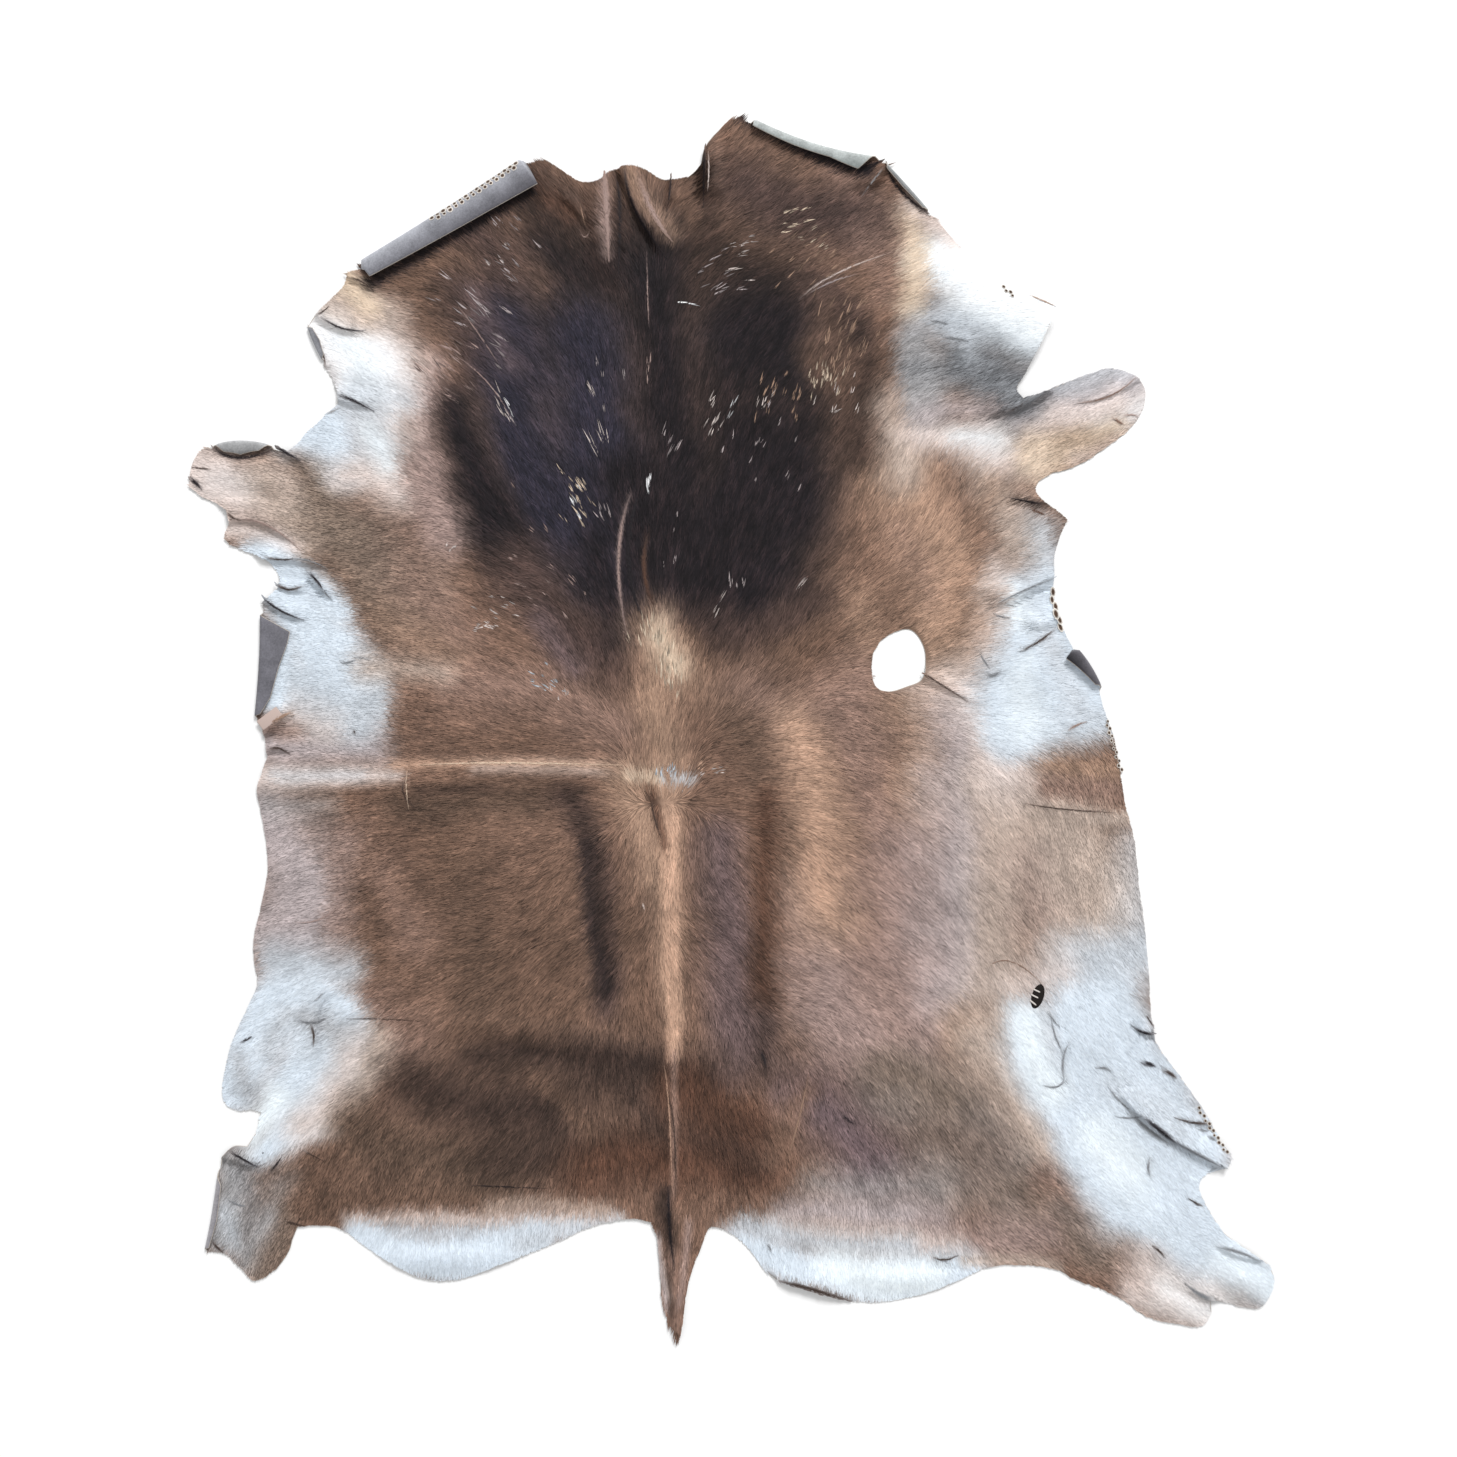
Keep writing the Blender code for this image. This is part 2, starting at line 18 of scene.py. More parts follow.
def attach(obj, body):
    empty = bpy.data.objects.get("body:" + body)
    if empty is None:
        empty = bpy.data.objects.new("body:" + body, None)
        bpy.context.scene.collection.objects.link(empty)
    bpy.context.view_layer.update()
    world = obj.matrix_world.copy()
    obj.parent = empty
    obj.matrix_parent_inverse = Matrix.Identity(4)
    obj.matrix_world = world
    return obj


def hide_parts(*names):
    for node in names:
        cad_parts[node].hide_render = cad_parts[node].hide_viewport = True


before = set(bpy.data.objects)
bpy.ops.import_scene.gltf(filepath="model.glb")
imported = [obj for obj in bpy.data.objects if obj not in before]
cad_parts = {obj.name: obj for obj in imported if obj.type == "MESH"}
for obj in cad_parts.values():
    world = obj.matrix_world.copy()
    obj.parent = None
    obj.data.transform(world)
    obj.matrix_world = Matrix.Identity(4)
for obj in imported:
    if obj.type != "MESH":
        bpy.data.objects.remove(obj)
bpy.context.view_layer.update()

# The hide: one full-grain skin, tanned soft and shaved to an even thickness on the flesh side.
# Its edge was trimmed by knife while it was stretched flat. Some of it has rolled over since,
# flesh side out, and the skin has kept the creases that it was folded and stored with.
METRES_PER_MM = 0.001
SKIN_THICKNESS = 2.0
CAD_THICKNESS = 3.0
EDGE_ROUNDING = 0.9
HAIR_SLOT = 0
SUEDE_SLOT = 1
EDGE_SLOT = 2

# How far apart the points of the skin are, and the least gaps that each kind of them keeps
EDGE_STEP = 5.0
ROLL_STEP = 6.0
CREASE_ROW_STEP = 6.0
LATTICE_STEP = 8.7
EDGE_MARGIN = 2.6
ROLL_GAP = 0.3
CREASE_ROW_GAP = 3.0
LATTICE_GAP = 5.6
WELD_GAP = 0.01
CELL = 8.0
BEND_STEPS = 12
LEAST_FOLD_STEPS = 6
LEAST_CREASE_STEPS = 3
LEAST_SLOPE_ROWS = 2
MOST_SLOPE_ROWS = 4
NO_FOLD = -1

# Curves, noise, and the knife's wander along the cut edge
CURVE_STEPS = 24
NORMAL_SHARE = 0.001
END_TAPER = 0.3
NOISE_SPAN = 2600.0
EDGE_WANDER = 0.7
EDGE_WANDER_SCALE = 14.0
EDGE_WANDER_SEEDS = (71, 72)

Fold = namedtuple("Fold", "name start via end radius sweep lips")
Crease = namedtuple("Crease", "name start via end height left right off_edge")
Swell = namedtuple("Swell", "name centre across along turn height")
Slack = namedtuple("Slack", "name scale height seed")

# Edges that are rolled over, flesh side out. start, via and end lie on the outside of the bend,
# going clockwise round the hide. radius is that of the bend at mid thickness, sweep its angle in
# degrees, and lips gives (share of the way along, width of the flap past the bend).
FOLDS = [Fold(*row) for row in (
    ("neck right fold", (34, 1044), (144, 1000), (254, 978), 8, 184,
     ((0.03, 3), (0.35, 6), (0.62, 7), (0.84, 17))),
    ("neck corner roll", (262, 970), (298, 932), (340, 884), 5, 170,
     ((0.1, 1), (0.5, 3), (0.9, 1))),
    ("right flank flap", (590, 138), (616, 104), (636, 64), 6, 176,
     ((0.04, 21), (0.5, 12), (0.85, 3))),
    ("left hind edge roll", (-908, -900), (-894, -830), (-884, -756), 4, 178,
     ((0.06, 2), (0.4, 6), (0.8, 4))),
    ("left flank flap", (-822, 14), (-814, 108), (-812, 196), 5, 184,
     ((0.05, 4), (0.2, 18), (0.48, 28), (0.7, 41), (0.81, 45))),
    ("left foreleg top roll", (-896, 482), (-844, 492), (-786, 482), 5, 184,
     ((0.2, 10), (0.5, 18), (0.8, 8))),
    ("left shoulder flap", (-704, 626), (-720, 658), (-732, 690), 4, 180,
     ((0.15, 3), (0.5, 7), (0.85, 3))),
    ("neck left roll", (-644, 796), (-500, 885), (-360, 976), 10, 182,
     ((0.02, 22), (0.35, 28), (0.7, 35), (0.985, 42))),
)]

# The cut edge, clockwise from the neck. Each stretch runs smoothly from corner to corner, and a
# stretch with no points of its own is the rolled edge of that name.
EDGE = (
    ("neck, left half",
     ((-344, 968), (-322, 970), (-290, 952), (-262, 936), (-232, 936), (-210, 952), (-180, 960),
      (-150, 954), (-124, 940), (-100, 938))),
    ("neck, right half", ((-76, 944), (-56, 964), (-48, 988), (-34, 1012), (-14, 1034), (8, 1046))),
    ("neck right fold", None),
    ("neck corner roll", None),
    ("right shoulder", ((348, 874), (376, 838), (410, 802), (444, 774), (478, 752))),
    ("right shoulder lobe", ((512, 734), (548, 720))),
    ("right shoulder side", ((540, 688), (522, 648), (500, 606), (486, 578), (496, 562))),
    ("right foreleg, top",
     ((520, 568), (548, 580), (600, 600), (650, 614), (682, 606), (704, 588), (708, 562), (694, 528),
      (668, 500))),
    ("right foreleg, under",
     ((642, 482), (612, 460), (578, 444), (544, 434), (524, 420), (520, 404), (532, 388), (558, 370),
      (574, 356))),
    ("right flank, upper", ((562, 330), (552, 294), (550, 254), (552, 220), (560, 186), (572, 156))),
    ("right flank flap", None),
    ("right flank",
     ((634, 40), (644, 10), (654, -20), (664, -72), (674, -136), (690, -202), (698, -278),
      (708, -356), (714, -430), (718, -494), (724, -538))),
    ("right hind flank",
     ((738, -562), (764, -596), (806, -656), (834, -706), (854, -738), (846, -758))),
    ("right hind hock",
     ((816, -766), (802, -780), (802, -798), (818, -832), (846, -872), (888, -902))),
    ("right hind, upper toe",
     ((922, -926), (930, -952), (914, -990), (892, -998), (840, -986), (818, -982))),
    ("right hind, lower toe",
     ((822, -1006), (806, -1028), (758, -1024), (710, -1012), (674, -986), (634, -966), (590, -950),
      (556, -932), (496, -924), (438, -928), (392, -948), (324, -974), (254, -988), (204, -986))),
    ("right rump", ((162, -972), (118, -960), (80, -952))),
    ("right of the tail", ((54, -932), (26, -894), (-6, -868), (-36, -858), (-46, -868))),
    ("tail, right side", ((-54, -890), (-70, -930), (-80, -968), (-86, -1016), (-92, -1050))),
    ("tail, left side", ((-112, -1020), (-122, -976), (-124, -924), (-130, -874), (-140, -850))),
    ("left rump",
     ((-166, -844), (-192, -846), (-244, -858), (-314, -890), (-400, -922), (-468, -948),
      (-528, -948), (-580, -924), (-632, -892), (-674, -862), (-710, -856), (-748, -858))),
    ("left hind foot",
     ((-756, -878), (-766, -906), (-792, -936), (-822, -950), (-846, -928), (-872, -906),
      (-892, -902))),
    ("left hind edge roll", None),
    ("left hind, top", ((-876, -738), (-858, -722), (-834, -722))),
    ("left hind", ((-818, -698), (-810, -662))),
    ("left hind flank",
     ((-826, -656), (-852, -658), (-872, -646), (-876, -620), (-868, -574), (-858, -538),
      (-832, -480), (-816, -442), (-822, -400), (-822, -364), (-808, -304), (-798, -244),
      (-802, -190), (-814, -124), (-816, -106), (-806, -76), (-798, -50))),
    ("left flank", ((-802, -24), (-806, -2))),
    ("left flank flap", None),
    ("left flank tab", ((-806, 214), (-796, 222), (-780, 238))),
    ("left armpit", ((-776, 252), (-782, 266), (-796, 284))),
    ("left foreleg, lower lobe", ((-816, 294), (-846, 306), (-866, 316), (-872, 330), (-862, 350))),
    ("left foreleg, upper lobe", ((-868, 372), (-888, 386), (-908, 394), (-932, 412))),
    ("left foreleg, tip", ((-932, 430), (-926, 456), (-914, 474), (-902, 480))),
    ("left foreleg top roll", None),
    ("left foreleg notch", ((-768, 470), (-756, 476), (-734, 502), (-702, 532), (-676, 556))),
    ("left shoulder, lower", ((-678, 578), (-688, 600), (-700, 618))),
    ("left shoulder flap", None),
    ("left shoulder, upper", ((-714, 706), (-688, 736), (-670, 754), (-658, 778), (-642, 784))),
    ("neck left roll", None),
)

HOLE = ((240, 126), (256, 150), (286, 166), (308, 166), (326, 144), (332, 118), (326, 82),
        (298, 68), (268, 60), (246, 68), (238, 96))

# Creases, each a ridge line that may fall steeply on one side. left and right are its widths
# on the left and the right hand of someone who walks from start to end. off_edge says which
# ends keep their height, because the crease runs off the edge of the hide there.
CREASES = [Crease(*row) for row in (
    ("neck ridge, left", (-220, 960), (-216, 860), (-206, 730), 9, 26, 42, "start"),
    ("neck fold", (-190, 966), (-166, 888), (-114, 806), 14, 70, 9, "start"),
    ("neck crease", (-106, 946), (-108, 918), (-112, 890), 7, 28, 8, "start"),
    ("neck ridge, right", (-50, 996), (-46, 946), (-52, 900), 11, 42, 9, "start"),
    ("neck wrinkle", (-300, 904), (-270, 890), (-250, 850), 6, 20, 9, "none"),
    ("neck corner pleat", (262, 964), (244, 940), (222, 910), 8, 9, 30, "start"),
    ("right shoulder ridge", (289, 814), (420, 738), (552, 700), 30, 84, 150, "end"),
    ("right armpit fold", (430, 540), (486, 548), (530, 572), 14, 70, 10, "end"),
    ("right foreleg fold", (580, 554), (650, 572), (700, 602), 7, 22, 8, "end"),
    ("right elbow slit", (474, 394), (502, 390), (530, 384), 7, 22, 8, "end"),
    ("right flank crease", (440, 208), (486, 226), (566, 268), 8, 44, 14, "end"),
    ("right flank pleat", (500, 168), (528, 176), (560, 190), 6, 30, 13, "end"),
    ("hole crease", (330, 86), (358, 70), (424, 42), 6, 24, 9, "start"),
    ("right flank stripe", (500, -124), (584, -146), (690, -160), 6, 22, 30, "end"),
    ("right hind fold", (660, -616), (720, -682), (836, -752), 13, 60, 9, "end"),
    ("right hind tuck, upper", (688, -516), (708, -524), (736, -526), 6, 22, 8, "end"),
    ("right hind tuck, lower", (760, -672), (786, -680), (820, -684), 6, 24, 8, "end"),
    ("right hock strip", (826, -888), (866, -906), (906, -914), 7, 22, 8, "end"),
    ("right toe crease", (776, -962), (800, -976), (824, -984), 7, 26, 9, "end"),
    ("right rump lift", (66, -944), (128, -964), (214, -986), 11, 60, 30, "none"),
    ("rump tuck", (340, -908), (360, -914), (384, -908), 5, 8, 18, "none"),
    ("tail ridge", (-98, -800), (-98, -900), (-93, -1040), 7, 20, 20, "end"),
    ("spine, lower", (-108, -500), (-106, -660), (-102, -810), 5, 34, 34, "none"),
    ("spine ridge", (-170, -90), (-166, -300), (-140, -520), 10, 110, 72, "none"),
    ("ridge right of the spine", (70, 40), (84, -240), (96, -560), 11, 130, 105, "none"),
    ("body fold, across", (-812, -82), (-484, -74), (-20, -70), 6, 34, 62, "start"),
    ("body fold, down", (-562, -60), (-560, -100), (-556, -146), 4, 12, 34, "none"),
    ("rump fold, left", (-650, -510), (-380, -520), (-116, -574), 4, 40, 30, "none"),
    ("rump fold, right", (-110, -578), (60, -590), (260, -600), 4, 40, 30, "none"),
    ("left hind crease", (-884, -736), (-846, -746), (-808, -758), 8, 30, 8, "start"),
    ("left hock crease", (-792, -764), (-784, -752), (-774, -738), 6, 8, 18, "none"),
    ("left hind tuck", (-676, -452), (-708, -480), (-714, -566), 7, 9, 28, "none"),
    ("left flank pleat", (-802, -12), (-780, 8), (-756, 30), 8, 32, 8, "start"),
    ("left flank crease", (-804, -46), (-782, -38), (-756, -44), 6, 24, 8, "start"),
    ("left flank fold, lower", (-804, 220), (-772, 198), (-728, 182), 9, 36, 8, "start"),
    ("left flank fold, upper", (-728, 262), (-708, 240), (-684, 216), 8, 26, 8, "none"),
    ("left armpit crease", (-786, 244), (-758, 236), (-728, 234), 7, 20, 8, "start"),
    ("left foreleg fold, lower", (-800, 288), (-744, 286), (-684, 270), 10, 34, 9, "start"),
    ("left foreleg fold, upper", (-866, 352), (-808, 350), (-736, 302), 10, 50, 9, "start"),
    ("left foreleg crease", (-784, 480), (-760, 466), (-736, 452), 9, 34, 8, "start"),
    ("left shoulder fold, lower", (-686, 566), (-654, 556), (-622, 546), 8, 34, 9, "start"),
    ("left shoulder fold, middle", (-716, 708), (-674, 684), (-630, 680), 10, 44, 9, "start"),
    ("left shoulder fold, upper", (-662, 776), (-638, 762), (-612, 752), 7, 26, 8, "start"),
)]

# Broad low swells where the hide doesn't lie quite flat. turn is in degrees.
SWELLS = [Swell(*row) for row in (
    ("left shoulder lobe", (-640, 640), 60, 90, 0, 9),
    ("right foreleg", (610, 530), 95, 44, 22, 10),
    ("left foreleg", (-820, 430), 90, 44, -8, 11),
    ("right flank lobe", (510, 120), 70, 120, 20, 9),
    ("left flank lobe", (-690, 120), 60, 90, 0, 9),
    ("left rump lobe", (-480, -916), 170, 34, 0, 9),
    ("right rump lobe", (300, -948), 110, 34, 0, 9),
    ("upper toe", (872, -952), 52, 40, -30, 9),
    ("lower toe", (744, -992), 70, 32, -20, 9),
    ("left hind foot", (-826, -860), 46, 80, 10, 9),
    ("left hind flank", (-826, -600), 44, 70, 0, 9),
    ("right hind flank", (700, -840), 70, 130, 40, 10),
)]

# Slack that keeps the skin from lying dead flat. scale is the width of its waves.
SLACKS = [Slack(*row) for row in (
    ("long waves", 190, 2.6, 11),
    ("short waves", 70, 1.0, 12),
)]


def curve_points(row, shares):
    """Points at the given shares of a row's curve, which passes its via point half-way."""
    start = np.array(row.start, dtype=float)
    via = np.array(row.via, dtype=float)
    end = np.array(row.end, dtype=float)
    control = 2.0 * via - 0.5 * (start + end)
    t = np.asarray(shares, dtype=float)[:, None]
    return (1.0 - t) ** 2 * start + 2.0 * t * (1.0 - t) * control + t ** 2 * end


def curve_normals(row, shares):
    """Unit normals on the left hand of a row's curve."""
    t = np.asarray(shares, dtype=float)
    run = curve_points(row, t + NORMAL_SHARE) - curve_points(row, t - NORMAL_SHARE)
    run /= np.linalg.norm(run, axis=1)[:, None]
    return np.stack((-run[:, 1], run[:, 0]), axis=1)


def curve_length(row):
    """Length of a row's curve."""
    points = curve_points(row, np.linspace(0.0, 1.0, CURVE_STEPS + 1))
    return float(np.linalg.norm(np.diff(points, axis=0), axis=1).sum())


def near_curve(row, places, reach):
    """Which places lie within reach of a row's curve, how far along it and how far to its left."""
    curve = curve_points(row, np.linspace(0.0, 1.0, CURVE_STEPS + 1))
    boxed = (places > curve.min(axis=0) - reach) & (places < curve.max(axis=0) + reach)
    near = np.nonzero(boxed.all(axis=1))[0]
    points = places[near]
    distance = np.full(len(points), np.inf)
    along = np.zeros(len(points))
    side = np.ones(len(points))
    for i in range(CURVE_STEPS):
        run = curve[i + 1] - curve[i]
        offset = points - curve[i]
        share = np.clip(offset @ run / (run @ run), 0.0, 1.0)
        gap = offset - share[:, None] * run
        length = np.linalg.norm(gap, axis=1)
        closer = length < distance
        turn = run[0] * gap[:, 1] - run[1] * gap[:, 0]
        distance = np.where(closer, length, distance)
        along = np.where(closer, (i + share) / CURVE_STEPS, along)
        side = np.where(closer, np.where(turn >= 0.0, 1.0, -1.0), side)
    return near, along, side * distance


def eased(share):
    """A share from 0 to 1 that starts and ends gently."""
    return share * share * (3.0 - 2.0 * share)


def soft_noise(places, scale, seed):
    """Noise between -1 and 1 that changes smoothly over about scale millimetres."""
    size = int(NOISE_SPAN / scale) + 3
    values = np.random.default_rng(seed).uniform(-1.0, 1.0, (size, size))
    cell = (places + 0.5 * NOISE_SPAN) / scale
    corner = np.clip(cell.astype(int), 0, size - 2)
    share = eased(np.clip(cell - corner, 0.0, 1.0))
    column, row = corner[:, 0], corner[:, 1]
    low = values[row, column] * (1.0 - share[:, 0]) + values[row, column + 1] * share[:, 0]
    high = values[row + 1, column] * (1.0 - share[:, 0]) + values[row + 1, column + 1] * share[:, 0]
    return low * (1.0 - share[:, 1]) + high * share[:, 1]


def bump(reach):
    """Smooth hump that is 1 at reach 0 and flat at nothing from reach 1 on."""
    return np.clip(1.0 - reach ** 2, 0.0, 1.0) ** 2


def hide_heights(places):
    """Height of the skin over its flat lie at each place, from creases, swells and slack."""
    heights = np.zeros(len(places))
    for crease in CREASES:
        near, along, aside = near_curve(crease, places, max(crease.left, crease.right))
        reach = np.where(aside >= 0.0, aside / crease.left, -aside / crease.right)
        from_start = np.ones(len(near)) if crease.off_edge == "start" else along
        from_end = np.ones(len(near)) if crease.off_edge == "end" else 1.0 - along
        ends = eased(np.clip(np.minimum(from_start, from_end) / END_TAPER, 0.0, 1.0))
        heights[near] = np.maximum(heights[near], crease.height * bump(reach) * ends)
    for swell in SWELLS:
        turn = math.radians(swell.turn)
        offset = places - np.array(swell.centre, dtype=float)
        across = offset[:, 0] * math.cos(turn) + offset[:, 1] * math.sin(turn)
        along = offset[:, 1] * math.cos(turn) - offset[:, 0] * math.sin(turn)
        heights += swell.height * bump(np.hypot(across / swell.across, along / swell.along))
    for slack in SLACKS:
        heights += slack.height * np.clip(soft_noise(places, slack.scale, slack.seed), 0.0, 1.0)
    return heights


def smooth_edge(stretch, step):
    """Points about a step apart on a smooth curve from the first to the last of a stretch."""
    knots = [np.array(point, dtype=float) for point in stretch]
    last = len(knots) - 1
    tangents = []
    for i in range(last + 1):
        span = knots[min(i + 1, last)] - knots[max(i - 1, 0)]
        tangents.append(span / np.linalg.norm(span))
    points = []
    for i in range(last):
        length = np.linalg.norm(knots[i + 1] - knots[i])
        handle = knots[i] + tangents[i] * length / 3.0
        next_handle = knots[i + 1] - tangents[i + 1] * length / 3.0
        steps = max(1, round(length / step))
        span = interpolate_bezier(knots[i], handle, next_handle, knots[i + 1], steps + 1)
        points.extend((point[0], point[1]) for point in span[:-1])
    points.append(tuple(knots[last]))
    return np.array(points)


def bend_length(fold):
    """Length of skin in a fold's bend."""
    return fold.radius * math.radians(fold.sweep)


def fold_depths(fold, shares):
    """Width of skin past the fold line at each share of the way along it."""
    at = [0.0] + [share for share, lip in fold.lips] + [1.0]
    depths = [0.0] + [bend_length(fold) + lip for share, lip in fold.lips] + [0.0]
    return np.interp(shares, at, depths)


def fold_pattern(fold, shares, depths):
    """Places on the flat hide of points given by their share along a fold and depth past it."""
    inset = fold.radius + 0.5 * CAD_THICKNESS
    return curve_points(fold, shares) + curve_normals(fold, shares) * (depths - inset)[:, None]


def rolled_places(fold, shares, depths):
    """Places in space of points of the skin past a fold line."""
    foot = fold_pattern(fold, shares, np.zeros(len(shares)))
    outward = curve_normals(fold, shares)
    bend = bend_length(fold)
    angle = np.minimum(depths, bend) / fold.radius
    flap = np.maximum(depths - bend, 0.0)
    out = fold.radius * np.sin(angle) + flap * np.cos(angle)
    up = fold.radius * (1.0 - np.cos(angle)) + flap * np.sin(angle)
    flat = foot + outward * out[:, None]
    return np.column_stack((flat, hide_heights(foot) + up))


def inside(loop, points):
    """Whether each point lies inside a closed loop."""
    crossings = np.zeros(len(points), dtype=int)
    for (x1, y1), (x2, y2) in zip(loop, np.roll(loop, -1, axis=0)):
        if y1 != y2:
            spans = (points[:, 1] >= min(y1, y2)) & (points[:, 1] < max(y1, y2))
            reach = x1 + (points[:, 1] - y1) * (x2 - x1) / (y2 - y1)
            crossings += spans & (points[:, 0] < reach)
    return crossings % 2 == 1


def gap_to_edge(loops, points):
    """Vector from each point to the nearest place on the hide's cut edges."""
    corners = np.concatenate(loops)
    tree = KDTree(len(corners))
    for i, (x, y) in enumerate(corners):
        tree.insert((x, y, 0.0), i)
    tree.balance()
    nearest = np.array([tree.find((x, y, 0.0))[1] for x, y in points])
    gaps = np.full((len(points), 2), NOISE_SPAN)
    for turn in (1, -1):
        runs = np.concatenate([np.roll(loop, turn, axis=0) - loop for loop in loops])[nearest]
        offset = corners[nearest] - points
        squares = np.maximum((runs * runs).sum(axis=1), WELD_GAP ** 2)
        share = np.clip(-(offset * runs).sum(axis=1) / squares, 0.0, 1.0)
        gap = offset + share[:, None] * runs
        closer = (gap * gap).sum(axis=1) < (gaps * gaps).sum(axis=1)
        gaps[closer] = gap[closer]
    return gaps


class Pattern:
    """Points of the flat hide, with the fold, share and depth of those past a fold line."""

    def __init__(self):
        self.points = []
        self.folds = []
        self.shares = []
        self.depths = []
        self.cells = {}

    def add(self, points, gap=0.0, fold=NO_FOLD, shares=None, depths=None):
        """Adds those points that keep a gap to the ones that are there."""
        shares = np.zeros(len(points)) if shares is None else shares
        depths = np.zeros(len(points)) if depths is None else depths
        for point, share, depth in zip(points, shares, depths):
            column = int(point[0] // CELL)
            row = int(point[1] // CELL)
            around = [(column + i, row + j) for i in (-1, 0, 1) for j in (-1, 0, 1)]
            taken = [self.points[k] for cell in around for k in self.cells.get(cell, ())]
            if gap and any(math.dist(point, other) < gap for other in taken):
                continue
            self.cells.setdefault((column, row), []).append(len(self.points))
            self.points.append((float(point[0]), float(point[1])))
            self.folds.append(fold)
            self.shares.append(float(share))
            self.depths.append(float(depth))


def lay_out_edge(pattern):
    """Adds the cut edge, flaps laid out flat. Gives the flaps' rings and the edge as it lies."""
    index = {fold.name: i for i, fold in enumerate(FOLDS)}
    flaps = []
    lying = []
    for name, stretch in EDGE:
        if stretch is None:
            fold = FOLDS[index[name]]
            steps = max(LEAST_FOLD_STEPS, round(curve_length(fold) / EDGE_STEP))
            shares = np.union1d(np.linspace(0.0, 1.0, steps + 1), [share for share, lip in fold.lips])
            depths = fold_depths(fold, shares)
            free_edge = fold_pattern(fold, shares, depths)
            fold_line = fold_pattern(fold, shares, np.zeros(len(shares)))
            flaps.append(np.concatenate((free_edge, fold_line[-2:0:-1])))
            lying.append(fold_line)
            pattern.add(free_edge, 0.0, index[name], shares, depths)
        else:
            edge = smooth_edge(stretch, EDGE_STEP)
            wander = [soft_noise(edge, EDGE_WANDER_SCALE, seed) for seed in EDGE_WANDER_SEEDS]
            edge[1:-1] += EDGE_WANDER * np.stack(wander, axis=1)[1:-1]
            lying.append(edge)
            pattern.add(edge)
    return flaps, np.concatenate(lying)


def fold_rows():
    """Fold, shares and depths of rows along each fold line, round its bend and on its flap."""
    for i, fold in enumerate(FOLDS):
        shares = np.arange(0.5, curve_length(fold) / ROLL_STEP) * ROLL_STEP / curve_length(fold)
        bend = bend_length(fold)
        widest = max(lip for share, lip in fold.lips)
        rows = np.append(bend * np.arange(BEND_STEPS + 1) / BEND_STEPS,
                         bend + np.arange(ROLL_STEP, widest, ROLL_STEP))
        for row in rows:
            kept = shares[fold_depths(fold, shares) > row + EDGE_MARGIN]
            if len(kept):
                yield i, kept, np.full(len(kept), row)


def crease_rows():
    """Points along each crease: its ridge first, then its two slopes."""
    points = []
    for crease in CREASES:
        steps = max(LEAST_CREASE_STEPS, round(curve_length(crease) / CREASE_ROW_STEP))
        shares = np.linspace(0.0, 1.0, steps + 1)
        asides = [0.0]
        for side, width in ((1.0, crease.left), (-1.0, crease.right)):
            rows = max(LEAST_SLOPE_ROWS, round(width / CREASE_ROW_STEP))
            rows = min(MOST_SLOPE_ROWS, rows)
            asides.extend(side * width * (k + 1) / rows for k in range(rows))
        for aside in asides:
            points.append(curve_points(crease, shares) + curve_normals(crease, shares) * aside)
    return np.concatenate(points)


def even_lattice(low, high, step):
    """An even lattice of points over a rectangle."""
    rise = step * math.sqrt(0.75)
    rows = np.arange(low[1], high[1], rise)
    columns = np.arange(low[0], high[0] + step, step)
    x, y = np.meshgrid(columns, rows)
    x[1::2] += 0.5 * step
    return np.column_stack((x.ravel(), y.ravel()))


def clear_of_edge(points):
    """Which points lie on the hide, clear of its cut edges."""
    fits = inside(edge_loop, points) & ~inside(hole_loop, points)
    gaps = gap_to_edge((edge_loop, hole_loop), points[fits])
    fits[fits] = np.linalg.norm(gaps, axis=1) > EDGE_MARGIN
    return fits


def off_flaps(points):
    """Which points lie on the part of the hide that isn't rolled over."""
    return ~np.any([inside(flap, points) for flap in flaps], axis=0)


# The flat hide: its cut edges, rows along the rolled edges and creases, and a lattice between them
pattern = Pattern()
flaps, lying_edge = lay_out_edge(pattern)
edge_loop = np.array(pattern.points)
hole_loop = smooth_edge(HOLE + HOLE[:1], EDGE_STEP)[:0:-1]
pattern.add(hole_loop)
for i, shares, depths in fold_rows():
    points = fold_pattern(FOLDS[i], shares, depths)
    kept = clear_of_edge(points)
    pattern.add(points[kept], ROLL_GAP, i, shares[kept], depths[kept])
for points, gap in (
    (crease_rows(), CREASE_ROW_GAP),
    (even_lattice(edge_loop.min(axis=0), edge_loop.max(axis=0), LATTICE_STEP), LATTICE_GAP),
):
    kept = off_flaps(points)
    kept[kept] = clear_of_edge(points[kept])
    pattern.add(points[kept], gap)

# The cut edges are kept as edges of the mesh, and the hole stays open
edge_rows = (np.arange(len(edge_loop)), len(edge_loop) + np.arange(len(hole_loop)))
edges = [pair for row in edge_rows for pair in zip(row.tolist(), np.roll(row, -1).tolist())]
cut = delaunay_2d_cdt(pattern.points, edges, [], 1, WELD_GAP)
flat = np.array([(point[0], point[1]) for point in cut[0]])
triangles = np.array(cut[2])
triangles = triangles[~inside(hole_loop, flat[triangles].mean(axis=1))]
source = np.array([first[0] for first in cut[3]])
place_of = np.zeros(len(pattern.points), dtype=int)
for i, merged in enumerate(cut[3]):
    place_of[merged] = i
rims = [place_of[row] for row in edge_rows]

